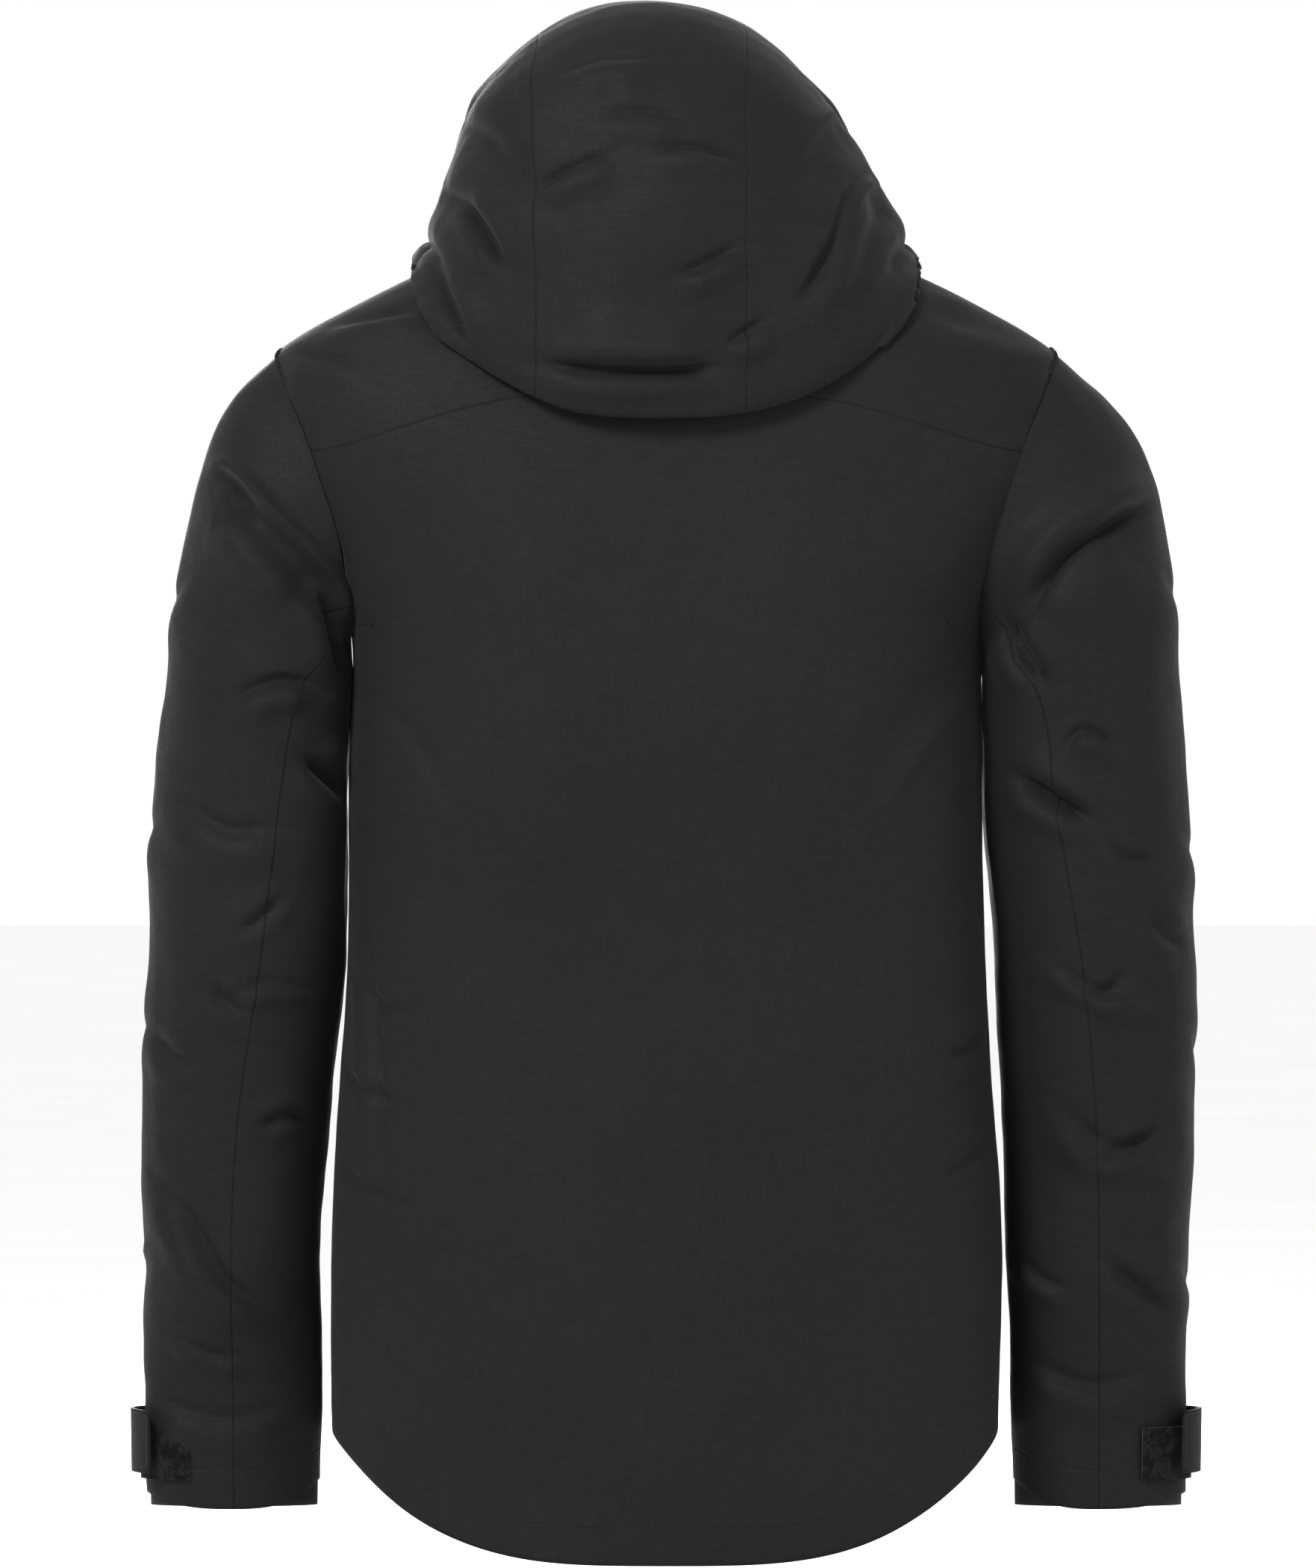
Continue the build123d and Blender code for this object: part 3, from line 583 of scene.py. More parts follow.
HOOD_STROKES = drawn(
    "back",
    (fold, 9, 2.6, -78, 24, -56, 38, -30, 48),
    (fold, 9, 2.4, -12, 50, 16, 50, 48, 42),
    (fold, 10, 1.8, -42, 70, -12, 72, 13, 66),
    (fold, 9, 2.6, 5, -26, 24, -18, 46, -6),
    (crease, 7, 2.6, -122, 26, -108, 6, -101, -8, -96, -18),
    (fold, 10, 3.0, 76, -46, 94, -18, 109, 21, 122, 42),
    (crease, 8, 3.2, -144, -8, -130, -34, -116, -68),
    (fold, 9, 2.4, 35, -67, 48, -58, 61, -50),
    (crease, 8, 4.6, -80, -74, -40, -78, 0, -79, 36, -76),
    (ridge, 16, 3.0, -60, -58, -16, -62, 32, -60),
    (ridge, 24, 2.2, -110, 60, -96, 84, -70, 108),
    (fold, 12, 1.8, -66, 92, -40, 104, -6, 106),
) + drawn(
    "left",
    (fold, 13, 1.6, 60, -20, 20, 20, -30, 34),
    (fold, 12, 1.3, 64, 20, 20, 62, -40, 74),
    (crease, 10, 1.7, 20, -22, -30, -2, -90, 0),
    (fold, 12, 1.3, -30, 96, -90, 66, -140, 32),
) + drawn(
    "right",
    (fold, 13, -1.6, -60, -20, -20, 22, 30, 36),
    (fold, 12, -1.3, -64, 22, -20, 64, 40, 78),
    (crease, 10, 1.7, -20, -22, 30, -2, 90, 0),
    (fold, 12, -1.3, 30, 98, 90, 66, 140, 34),
)


# ---- meshes


def grid_faces(grid, closed=False):
    """The quads of a grid of points. A closed grid's last column meets its first."""
    rows, columns = grid.shape[:2]
    index = np.arange(rows * columns).reshape(rows, columns)
    if closed:
        index = np.concatenate([index, index[:, :1]], axis=1)
    a, b, c, d = index[:-1, :-1], index[1:, :-1], index[1:, 1:], index[:-1, 1:]
    return np.stack([a, b, c, d], -1).reshape(-1, 4)


def merged(parts):
    """One list of points, faces and line distances from several."""
    start, points_, faces, lines = 0, [], [], []
    for p, f, l in parts:
        points_.append(p.reshape(-1, 3))
        faces.append(f + start)
        lines.append(l.reshape(-1, 3))
        start += len(points_[-1])
    return np.concatenate(points_), np.concatenate(faces), np.concatenate(lines)


FAR = 900.0  # a line distance where there is no such line


def far_lines(p):
    return np.full(p.reshape(-1, 3).shape, FAR)


def placed_object(name, data):
    made = bpy.data.objects.new(name, data)
    bpy.context.scene.collection.objects.link(made)
    return made


def piece(name, vertices, faces, material, lines=None, strokes=(), uneven=0.0, inside=None,
          thickness=0.0, weld=False, seed=1):
    """A piece of the object from points in millimetres. Its cloth faces away from inside."""
    mesh = bpy.data.meshes.new(name)
    vertices = vertices.reshape(-1, 3)
    mesh.from_pydata(vertices.tolist(), [], faces.tolist())
    attribute = mesh.attributes.new("lines", "FLOAT_VECTOR", "POINT")
    attribute.data.foreach_set("vector", (far_lines(vertices) if lines is None else lines).ravel())
    if weld:
        work = bmesh.new()
        work.from_mesh(mesh)
        edges = [v for v in work.verts if v.is_boundary]
        bmesh.ops.remove_doubles(work, verts=edges, dist=0.05)
        work.to_mesh(mesh)
        work.free()
    p, n = np.zeros(len(mesh.vertices) * 3), np.zeros(len(mesh.vertices) * 3)
    mesh.vertices.foreach_get("co", p)
    mesh.vertex_normals.foreach_get("vector", n)
    p, n = p.reshape(-1, 3), n.reshape(-1, 3)
    if inside is not None and ((p - np.array(inside)) * n).sum() < 0:
        mesh.flip_normals()
        n = -n
    if len(strokes):
        p = p + n * press(p, n, strokes)[:, None]
    if uneven:
        broad, small = ripple(p, 95, seed=seed), ripple(p, 32, seed=seed + 5)
        p = p + n * (broad * uneven + small * uneven * 0.22)[:, None]
    mesh.vertices.foreach_set("co", (p * MM).ravel())
    mesh.update()
    mesh.shade_smooth()
    made = placed_object(name, mesh)
    made.data.materials.append(material)
    if thickness:
        thicken = made.modifiers.new("cloth", "SOLIDIFY")
        thicken.thickness = thickness * MM
        thicken.offset = -1
    return made


def off_surface(surface, u, v, distance, step=1e-3):
    """Points at a distance from a surface, to the right of its first direction seen from outside."""
    p = surface(u, v)
    n = np.cross(surface(u, v + step) - p, surface(u + step, v) - p)
    n /= np.maximum(np.linalg.norm(n, axis=-1, keepdims=True), 1e-9)
    distance = np.broadcast_to(distance, p.shape[:-1])
    return p + n * distance[..., None]


def mirrored(p):
    return p * np.array([-1.0, 1.0, 1.0])


# ---- materials


def set_input(tree, socket, value):
    if isinstance(value, bpy.types.NodeSocket):
        tree.links.new(value, socket)
    else:
        socket.default_value = value


def node(tree, kind, inputs=None, **settings):
    made = tree.nodes.new("ShaderNode" + kind)
    for key, value in settings.items():
        setattr(made, key, value)
    for key, value in (inputs or {}).items():
        set_input(tree, made.inputs[key], value)
    return made


def calc(tree, operation, *values):
    made = node(tree, "Math", operation=operation)
    for socket, value in zip(made.inputs, values):
        set_input(tree, socket, value)
    return made.outputs[0]


def times(tree, *values):
    return calc(tree, "MULTIPLY", *values)


def spread(tree, value, low, high, to_low, to_high):
    """A value mapped smoothly from one range to another."""
    inputs = {"Value": value, "From Min": low, "From Max": high, "To Min": to_low, "To Max": to_high}
    return node(tree, "MapRange", inputs, interpolation_type="SMOOTHSTEP").outputs[0]


def noise(tree, stretch, detail=2.0, seed=0.0):
    """Noise in object space, whose size along each axis is one metre over its stretch."""
    where = node(tree, "TexCoord").outputs["Object"]
    scaled = node(tree, "Mapping", {"Vector": where, "Scale": stretch, "Location": (seed, seed, 0)})
    inputs = {"Vector": scaled.outputs[0], "Scale": 1.0, "Detail": detail}
    return node(tree, "TexNoise", inputs).outputs[0]


def line_groove(tree, distance, half_width):
    """1 on a line and 0 away from it."""
    ratio = calc(tree, "DIVIDE", distance, half_width)
    return calc(tree, "EXPONENT", times(tree, times(tree, ratio, ratio), -1.0))


def seam_height(tree, distance):
    """A seam: a groove, and the turned cloth that lies under one side of it."""
    groove = line_groove(tree, distance, 0.75)
    rise = spread(tree, distance, 0.0, 1.2, 0.0, 1.0)
    fall = spread(tree, distance, 7.0, 10.0, 1.0, 0.0)
    turned = times(tree, rise, fall)
    raised = times(tree, turned, 0.22)
    return calc(tree, "SUBTRACT", raised, times(tree, groove, 0.3))


STITCH_FROM_EDGE = 22.0


def hem_height(tree, distance):
    """A row of stitching a little way in from an edge."""
    place = calc(tree, "SUBTRACT", distance, STITCH_FROM_EDGE)
    step = spread(tree, place, -1.0, 1.0, 0.25, 0.0)
    return calc(tree, "SUBTRACT", step, times(tree, line_groove(tree, place, 0.6), 0.45))


def new_material(name, slot, roughness, metallic=0.0, specular=0.5):
    made = bpy.data.materials.new(name)
    made.use_nodes = True
    made["slot"] = slot
    shader = made.node_tree.nodes["Principled BSDF"]
    shader.inputs["Roughness"].default_value = roughness
    shader.inputs["Metallic"].default_value = metallic
    shader.inputs["Specular IOR Level"].default_value = specular
    return made, made.node_tree, shader


def tinted(tree, shader, colour, factor):
    """Gives a colour whose brightness is multiplied by a value that varies over the surface."""
    made = node(tree, "VectorMath", operation="SCALE")
    made.inputs[0].default_value = colour
    tree.links.new(factor, made.inputs["Scale"])
    tree.links.new(made.outputs[0], shader.inputs["Base Color"])


def bumped(tree, shader, height):
    """Height is in millimetres."""
    bump = node(tree, "Bump", {"Height": height, "Distance": MM, "Strength": 1.0})
    tree.links.new(bump.outputs[0], shader.inputs["Normal"])


def woven(name, slot, colour, roughness=0.6, threads=1400.0, contrast=0.14, grain=0.06, sheen=0.03,
          seams=False):
    """Woven cloth: slubs along the warp and the weft, slow tone changes, and seams if it has any, with
    painted shade along their grooves.
    """
    made, tree, shader = new_material(name, slot, roughness, specular=0.04)
    slub = threads / 16
    warp = noise(tree, (threads, threads, slub))
    weft = noise(tree, (slub, slub, threads), seed=3.0)
    thread = times(tree, calc(tree, "ADD", warp, weft), 0.5)
    broad = noise(tree, (9.0, 9.0, 9.0), detail=3.0)
    tone = times(
        tree,
        spread(tree, thread, 0.34, 0.66, 1 - contrast, 1 + contrast),
        spread(tree, broad, 0.3, 0.7, 0.95, 1.05),
    )
    height = times(tree, thread, grain)
    if seams:
        place = node(tree, "Attribute", attribute_name="lines").outputs["Vector"]
        parts = node(tree, "SeparateXYZ", {0: place}).outputs
        for k, shape in enumerate((seam_height, seam_height, hem_height)):
            height = calc(tree, "ADD", height, shape(tree, parts[k]))
        # painted shade: the colour is darkened along the two seam lines, where a groove's shadow would
        # fall
        for k in range(2):
            shade = times(tree, line_groove(tree, parts[k], 0.6), -0.3)
            tone = times(tree, tone, calc(tree, "ADD", shade, 1.0))
    tinted(tree, shader, colour, tone)
    rough = spread(tree, thread, 0.34, 0.66, roughness + 0.05, roughness - 0.05)
    tree.links.new(rough, shader.inputs["Roughness"])
    shader.inputs["Sheen Weight"].default_value = sheen
    shader.inputs["Sheen Roughness"].default_value = 0.45
    shader.inputs["Sheen Tint"].default_value = (0.8, 0.82, 0.85, 1)
    bumped(tree, shader, height)
    return made


def fuzzy(name, slot, colour, size=1100.0, depth=0.9, sheen=0.05):
    """Pile, loops or hooks that stand up from a cloth."""
    made, tree, shader = new_material(name, slot, 0.95, specular=0.05)
    loops = noise(tree, (size, size, size), detail=3.0)
    tufts = noise(tree, (size / 4, size / 4, size / 4), detail=2.0, seed=5.0)
    pile = times(tree, loops, spread(tree, tufts, 0.3, 0.7, 0.6, 1.4))
    tinted(tree, shader, colour, spread(tree, pile, 0.3, 0.8, 0.35, 1.9))
    shader.inputs["Sheen Weight"].default_value = sheen
    bumped(tree, shader, times(tree, pile, depth))
    return made


def metal(name, slot, colour, roughness=0.32, metallic=0.9):
    """Painted or tumbled metal, or a hard plastic, with fine scratches and worn patches."""
    made, tree, shader = new_material(name, slot, roughness, metallic=metallic)
    worn = noise(tree, (160.0, 160.0, 160.0), detail=5.0)
    scratches = noise(tree, (2500.0, 300.0, 300.0), detail=2.0)
    tinted(tree, shader, colour, spread(tree, worn, 0.35, 0.7, 0.85, 1.3))
    rough = spread(tree, scratches, 0.3, 0.7, roughness - 0.06, roughness + 0.12)
    tree.links.new(rough, shader.inputs["Roughness"])
    bumped(tree, shader, times(tree, scratches, 0.015))
    return made


BLACK = (0.0086, 0.0086, 0.0087)
SHELL = woven("shell_cloth", "shell_fabric", BLACK, seams=True)
FACING = woven("facing_cloth", "shell_fabric", (0.014, 0.014, 0.015), roughness=0.7)
TRICOT = fuzzy("brushed_tricot", "brushed_tricot", (0.02, 0.02, 0.022), size=1500, depth=0.25)
BINDING = woven("binding_cloth", "binding", (0.014, 0.014, 0.0145), threads=2200, grain=0.09)
WEBBING = woven("webbing", "webbing", (0.017, 0.017, 0.018), threads=900, grain=0.3, contrast=0.25)
LABEL = woven("label_satin", "label_satin", (0.55, 0.55, 0.54), roughness=0.4, threads=3000,
              contrast=0.04, grain=0.03)
LOOPS = fuzzy("loop_pile", "loop_pile", (0.0045, 0.0045, 0.005), size=700, depth=0.5)
HOOKS = fuzzy("hook_tape", "hook_tape", (0.008, 0.008, 0.0085), size=1600, depth=0.5, sheen=0.1)
TAPE = woven("zip_tape", "zip_tape", (0.012, 0.012, 0.0125), threads=2600, grain=0.12)
COIL = metal("zip_coil", "zip_coil", (0.03, 0.03, 0.032), roughness=0.38, metallic=0.0)
METAL = metal("zip_metal", "zip_metal", (0.09, 0.09, 0.095))


# ---- the body of the jacket


def zip_stitch(x):
    """Distance from the zip's edge, moved so that the hem's row of stitching runs beside the zip."""
    return x - FRONT_WINDOW + STITCH_FROM_EDGE - 6


def trunk_lines(p, across, share, yoke, hem):
    """Distances from the yoke seam, the side seam and the hem. Share is 1 at the side seam."""
    z = p[..., 2]
    bend = np.sin(share * math.pi / 2)
    across = np.broadcast_to(across, z.shape)
    return np.stack([z - yoke_z(yoke, bend), across, z - hem_z(hem, bend)], -1)


BACK_WIDTH, FRONT_WIDTH = 265, 240  # from the middle or the zip to the side seam, round the body
POCKETS = {  # x, low z and high z of each pocket's zip, and its sides
    "hand": (112.0, -585.0, -425.0, (1, -1)),
    "chest": (72.0, -370.0, -235.0, (1,)),
}
POCKET_WINDOW = 5.2  # half the width of the opening that a pocket's zip is seen in
POCKET_MARGIN = 4  # from a zip's end to the end of the opening
POCKET_DEPTH = 6.6  # of a pocket's cloth behind the front
WELT_LOOPS = (  # how far each loop is from the inner edge, and how far it stands up
    (0.0, -2.4), (0.0, 0.1), (0.8, 0.5), (6.2, 0.5), (7.0, 0.2), (7.2, -1.6),
)
WELT_DIP = 1.8  # how far a welt's lower end sinks, to let the puller pass


def without_pockets(p, faces, side):
    """The faces of a front, less those that lie under a pocket's zip."""
    middle = p.reshape(-1, 3)[faces].mean(1)
    keep = np.ones(len(faces), bool)
    for x, low, high, sides in POCKETS.values():
        if side in sides:
            over = np.abs(np.abs(middle[:, 0]) - x) < POCKET_WINDOW
            over &= (middle[:, 2] > low - POCKET_MARGIN) & (middle[:, 2] < high + POCKET_MARGIN)
            keep &= ~over
    return faces[keep]


def make_body():
    back, front = back_grid(), front_grid()
    q = np.abs(np.linspace(-1, 1, len(back)))[:, None]
    s = np.linspace(0, 1, len(front))[:, None]
    back_lines = trunk_lines(back, BACK_WIDTH * (1 - q), q, BACK_YOKE_Z, HEM_BACK)
    front_lines = trunk_lines(front, -FRONT_WIDTH * (1 - s), s, FRONT_YOKE_Z, HEM_FRONT)
    front_lines[..., 2] = np.minimum(front_lines[..., 2], zip_stitch(front[..., 0]))
    faces = grid_faces(front)
    parts = [(back, grid_faces(back)[:, ::-1], back_lines)]
    for side, p, f in ((1, front, faces), (-1, mirrored(front), faces[:, ::-1])):
        parts.append((p, without_pockets(p, f, side), front_lines))
    vertices, faces, lines = merged(parts)
    body = piece("shell_body", vertices, faces, SHELL, lines=lines, strokes=BODY_STROKES,
                 uneven=0.7, inside=(0, CENTRE_Y, -400), thickness=CLOTH, weld=True)
    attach(body, "jacket")
    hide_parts("back_panel", "back_yoke", "front_panel_left", "front_panel_right",
                "front_yoke_left", "front_yoke_right")


make_body()


# ---- the sleeves


SEAM_PLACE = [  # where along a sleeve, and how far its back seam is from its inner edge
    (0.0, 0.10), (0.25, 0.20), (0.35, 0.31), (0.5, 0.38), (0.68, 0.46), (0.8, 0.49), (1.0, 0.49),
]
FRONT_SEAM = math.radians(305)
SLEEVE_LENGTH, SLEEVE_RADIUS = 700.0, 58
SLEEVE_ROWS = 260
CUFF_RISE = (17.0, 9.0)  # how far a cuff's end rises at its inner and its outer edge
CUFF_FROM = 0.9  # where along a sleeve that rise starts


def ring_angles():
    """Angles round a sleeve that match the vertices of the armhole's edge."""
    hole = np.linspace(0, math.pi, HOLE_POINTS)
    back = 1.5 * math.pi - hole
    front = -0.5 * math.pi + hole
    return np.concatenate([front[:-1], back[::-1][:-1]])


def sleeve_lines(theta, along):
    """Distances from its two seams, from the armhole and from the cuff's end."""
    (place,) = station(SEAM_PLACE, along)
    back_seam = math.pi - np.arcsin(2 * place - 1)
    turn = np.mod(theta, 2 * math.pi)
    nearest = np.minimum(np.abs(turn - back_seam), np.abs(turn - FRONT_SEAM))
    nearest = np.minimum(nearest, np.abs(turn + 2 * math.pi - FRONT_SEAM))
    under = (turn > back_seam) & (turn < FRONT_SEAM)
    seam = np.where(under, -nearest, nearest) * SLEEVE_RADIUS
    edge = (1 - along) * SLEEVE_LENGTH
    return np.stack(np.broadcast_arrays(seam, along * SLEEVE_LENGTH, edge), -1)


BLEND_START = points(192.0, 0.0, -231.0)  # the armpit
BLEND_DIRECTION = np.array((0.93, 0.0, -0.3676))
BLEND_REACH = 90.0


def beside_trunk(p, along):
    """A left sleeve's points, moved out where they would lie in the trunk."""
    width, front_depth, back_depth, bulge = station(TRUNK, p[..., 2])
    y = p[..., 1] - CENTRE_Y
    share = np.abs(y / np.where(y < 0, front_depth, back_depth)) ** bulge
    short = np.clip(1 - share, 0, 1) ** (1 / bulge) * width + SLEEVE_GAP - p[..., 0]
    p[..., 0] += push(short) * smooth((along - 0.1) / 0.12)
    return p


def make_sleeve(name, side, strokes):
    theta = ring_angles()[None, :]
    along = np.linspace(0, 1, SLEEVE_ROWS)[:, None]
    p = sleeve(*np.broadcast_arrays(theta, along), side)
    p = beside_trunk(p, along)
    rise = np.where(np.sin(theta) < 0, *CUFF_RISE) * np.abs(np.sin(theta)) ** 3
    p[..., 2] += rise * smooth((along - CUFF_FROM) / (1 - CUFF_FROM))
    faces = grid_faces(p, closed=True)
    if side < 0:
        p, faces = mirrored(p), faces[:, ::-1]
    shell = piece(f"sleeve_shell_{name}", p, faces, SHELL, lines=sleeve_lines(theta, along),
                  strokes=strokes, uneven=1.1, inside=(250 * side, CENTRE_Y, -400),
                  thickness=CLOTH, seed=11 + side)
    end = BLEND_START + BLEND_DIRECTION * BLEND_REACH
    ends = (tuple(v * np.array([side, 1, 1]) * MM) for v in (BLEND_START, end))
    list(ends)
    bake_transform(shell)
    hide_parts(f"sleeve_outer_{name}", f"sleeve_under_{name}")


def cloth_patch(name, surface, us, vs, off, material, body, replaced, side, thickness=0.0,
                uneven=0.0, lines=None):
    """A piece of cloth at a distance off a surface, made on the left and mirrored for the right."""
    u, v = np.meshgrid(us, vs, indexing="ij")
    p = off_surface(surface, u, v, off)
    faces = grid_faces(p)[:, ::-1]
    if side < 0:
        p, faces = mirrored(p), faces[:, ::-1]
    made = piece(name, p, faces, material, lines=lines, thickness=thickness, uneven=uneven)
    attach(made, body)
    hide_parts(replaced)
    return made


TAB_ANGLES = (math.radians(-8), math.radians(128))
TAB_ALONG = (0.921, 0.971)
TAB_STAND_OFF = (3.6, 9.6)  # at its sewn end, and added at its free end
TAB_CORNER = 0.05
TAB_SIZE = 34, 130  # width and length


def cuff_surface(side):
    return lambda theta, along: sleeve(theta, along, side)


def tab_surface(side):
    """The cuff tab's outer face: reach from its sewn end, width from -1 to 1."""
    middle, half = sum(TAB_ALONG) / 2, (TAB_ALONG[1] - TAB_ALONG[0]) / 2

    def surface(reach, width):
        corner = np.clip((reach - 1 + TAB_CORNER) / TAB_CORNER, 0, 1)
        narrow = half * (1 - 0.28 * (1 - np.sqrt(1 - corner**2 * 0.999)))
        stand = TAB_STAND_OFF[0] + TAB_STAND_OFF[1] * reach**2
        theta = mix(*TAB_ANGLES, reach)
        return off_surface(cuff_surface(side), theta, middle + width * narrow, stand)

    return surface


def make_cuff(name, side):
    surface = tab_surface(side)
    body = f"cuff_tab_{name}"
    reach, width = np.linspace(0, 1, 72), np.linspace(-1, 1, 15)
    r, w = np.meshgrid(reach, width, indexing="ij")
    edge = np.minimum((1 - np.abs(w)) * TAB_SIZE[0] / 2, (1 - r) * TAB_SIZE[1])
    edge += STITCH_FROM_EDGE - 2.2
    lines = np.stack([np.full(edge.shape, FAR)] * 2 + [edge], -1)
    tab = cloth_patch(f"cuff_tab_cloth_{name}", surface, reach, width, 0.0, SHELL, body,
                      f"cuff_tab_{name}", side, thickness=1.9, lines=lines)
    cloth_patch(f"cuff_hooks_{name}", surface, np.linspace(0.62, 0.96, 60),
                np.linspace(-0.82, 0.82, 30), -2.0, HOOKS, body, f"cuff_hook_patch_{name}", side,
                thickness=1.0, uneven=0.12)
    on_cuff = cuff_surface(side)
    low, high = math.radians(62), math.radians(152)
    cloth_patch(f"cuff_loops_{name}", on_cuff, np.linspace(low, high, 130),
                np.linspace(0.935, 0.977, 44), 3.4, LOOPS, f"sleeve_{name}",
                f"cuff_loop_patch_{name}", side, thickness=2.2, uneven=0.22)
    around = np.linspace(-math.pi / 2, 1.5 * math.pi, 140)
    cloth_patch(f"cuff_lining_{name}", on_cuff, around, np.linspace(0.955, 0.9985, 10), -2.4,
                FACING, f"sleeve_{name}", f"cuff_facing_{name}", side, thickness=0.9)


# ---- the hood


def hood_lines(p, across, along):
    seam = np.abs(p[..., 0] - HOOD_MIDDLE) - HOOD_SEAM
    seam = np.where(np.abs(across) > 0.5, np.maximum(seam, 20), seam)
    brim = (1 - along) * HOOD_LENGTH
    return np.stack([seam, np.full(seam.shape, FAR), np.broadcast_to(brim, seam.shape)], -1)


HOOD_STILL, HOOD_MOVED = points(0, 0, 0) * MM, points(0, -30, 100) * MM


def make_hood():
    across = np.linspace(-1, 1, 281)[:, None]
    along = np.linspace(0, 1, 240)[None, :]
    p = hood(*np.broadcast_arrays(across, along))
    shell = piece("hood_shell", p, grid_faces(p), SHELL,
                  lines=hood_lines(p, across, along), strokes=HOOD_STROKES, uneven=1.0,
                  inside=(0, CENTRE_Y, 20), thickness=2.0, seed=4)
    edge = hood(np.linspace(-1, 1, 161), np.ones(161))
    roll = tube("hood_edge_binding", edge, 2.1, BINDING)
    for made in (shell, roll):
        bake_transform(made)
    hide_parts("hood_panel_centre", "hood_panel_side_left", "hood_panel_side_right",
                "hood_visor")
    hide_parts("hood_binding")


def tube(name, path, radius, material, sides=10):
    """A rolled edge along a line of points."""
    ahead = np.gradient(path, axis=0)
    ahead /= np.linalg.norm(ahead, axis=1, keepdims=True)
    across = np.cross(ahead, (0.0, 0.0, 1.0))
    across /= np.maximum(np.linalg.norm(across, axis=1, keepdims=True), 1e-6)
    up = np.cross(across, ahead)
    turn = np.linspace(0, 2 * math.pi, sides, endpoint=False)
    ring = across[:, None] * np.cos(turn)[None, :, None] + up[:, None] * np.sin(turn)[None, :, None]
    p = path[:, None] + ring * radius
    return piece(name, p, grid_faces(p, closed=True), material)


# ---- the collar


def collar_angles(window, count):
    edge = math.asin((window / NECK[0]) ** (NECK[3] / 2))
    return np.linspace(edge, 2 * math.pi - edge, count)


def make_collar():
    heights = np.linspace(0.5, COLLAR_HEIGHT, 26)
    angles = collar_angles(FRONT_WINDOW, 200)
    a, h = np.meshgrid(angles, heights, indexing="ij")
    p = collar(a, h)
    n = off_surface(collar, a, h, -1.0) - p
    belly = 2.2 * np.sin(math.pi * h / COLLAR_HEIGHT) + 0.8 * np.sin(5 * a + h * 0.05)
    p = p + n * belly[..., None]
    edge = np.minimum(COLLAR_HEIGHT - h, np.abs(p[..., 0]) - FRONT_WINDOW + 0.1)
    edge = np.where(p[..., 1] < CENTRE_Y, edge, COLLAR_HEIGHT - h) + STITCH_FROM_EDGE - 6
    lines = np.stack([h - 1.0, np.full(h.shape, FAR), edge], -1)
    outer = piece("collar_cloth", p, grid_faces(p), SHELL, lines=lines,
                  inside=(0, CENTRE_Y - 10, 0), thickness=CLOTH)
    roll = tube("collar_top_roll", p[:, -1], 1.7, BINDING)
    base = tube("hood_seam_binding", collar(collar_angles(16, 180), 3.0, -3.2), 2.4, BINDING)
    inner_angles = collar_angles(20, 160)
    a, h = np.meshgrid(inner_angles, np.linspace(2, COLLAR_HEIGHT - 2, 20), indexing="ij")
    q = off_surface(collar, a, h, 2.8)
    lining = piece("collar_soft_lining", q, grid_faces(q), TRICOT,
                   inside=(0, CENTRE_Y - 10, 0), thickness=1.2)
    turn = np.linspace(0, math.pi, 40)
    tall = np.linspace(-4, 4, 7)
    strap = np.stack(np.broadcast_arrays(
        27 * np.cos(turn)[:, None] * (1 - 0.06 * np.sin(turn)[:, None]),
        -13 * np.sin(turn)[:, None] ** 0.9, tall[None, :]), -1)
    loop = piece("hanger_strap", strap, grid_faces(strap), WEBBING,
                 inside=(0, 0, 0), thickness=1.5)
    for made, nodes in ((outer, ["collar"]), (roll, []), (base, ["hood_base"]),
                        (lining, ["collar_lining"]), (loop, ["hanger_loop"])):
        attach(made, "jacket")
        if nodes:
            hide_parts(*nodes)


# ---- zips


def zip_frame(x, low_z, high_z, depth):
    """Origin, across, inward and up directions, and length of a zip on the left front."""
    low, high = (front_surface(x, z) for z in (low_z, high_z))
    up = (high - low) / np.linalg.norm(high - low)
    across = np.array([1.0, 0.0, 0.0])
    if x:
        z = (low_z + high_z) / 2
        across = front_surface(x + 5, z) - front_surface(x - 5, z)
    inward = np.cross(up, across)
    inward /= np.linalg.norm(inward)
    return low + inward * depth, np.cross(inward, up), inward, up, np.linalg.norm(high - low)


def placed(local, place, side=1):
    """Points given across, inward and up in a zip's frame, as points of the jacket."""
    origin, across, inward, up, _ = place
    p = origin + local[..., 0:1] * across + local[..., 1:2] * inward + local[..., 2:3] * up
    return p if side > 0 else mirrored(p)


def zip_teeth(length, k):
    """The loops of two coils, which reach past the middle in turn."""
    turn = np.linspace(0, 2 * math.pi, 8, endpoint=False)
    steps = np.linspace(0, 1, 5)
    pitch = 1.5 * k
    count = int(length / pitch)
    all_parts = []
    for half, shift in ((1, 0.0), (-1, 0.5)):
        x = half * mix(-0.5 * k, 3.3 * k, steps)[:, None]
        swell = (0.52 + 0.35 * np.exp(-(((steps - 0.12) / 0.16) ** 2)))[:, None] * k
        ring = np.stack(np.broadcast_arrays(
            x, np.cos(turn)[None] * swell * 1.5, np.sin(turn)[None] * swell * 0.66), -1)
        for i in range(count):
            tooth = ring + np.array([0, 0, (i + shift) * pitch])
            all_parts.append((tooth, grid_faces(tooth, closed=True), far_lines(tooth)))
    return merged(all_parts)


def tape_grid(x_from, x_to, z_from, z_to, depth=0.0, rows=60):
    x = np.linspace(x_from, x_to, 8)[:, None]
    z = np.linspace(z_from, z_to, rows)[None, :]
    return np.stack(np.broadcast_arrays(x, depth, z), -1).astype(float)


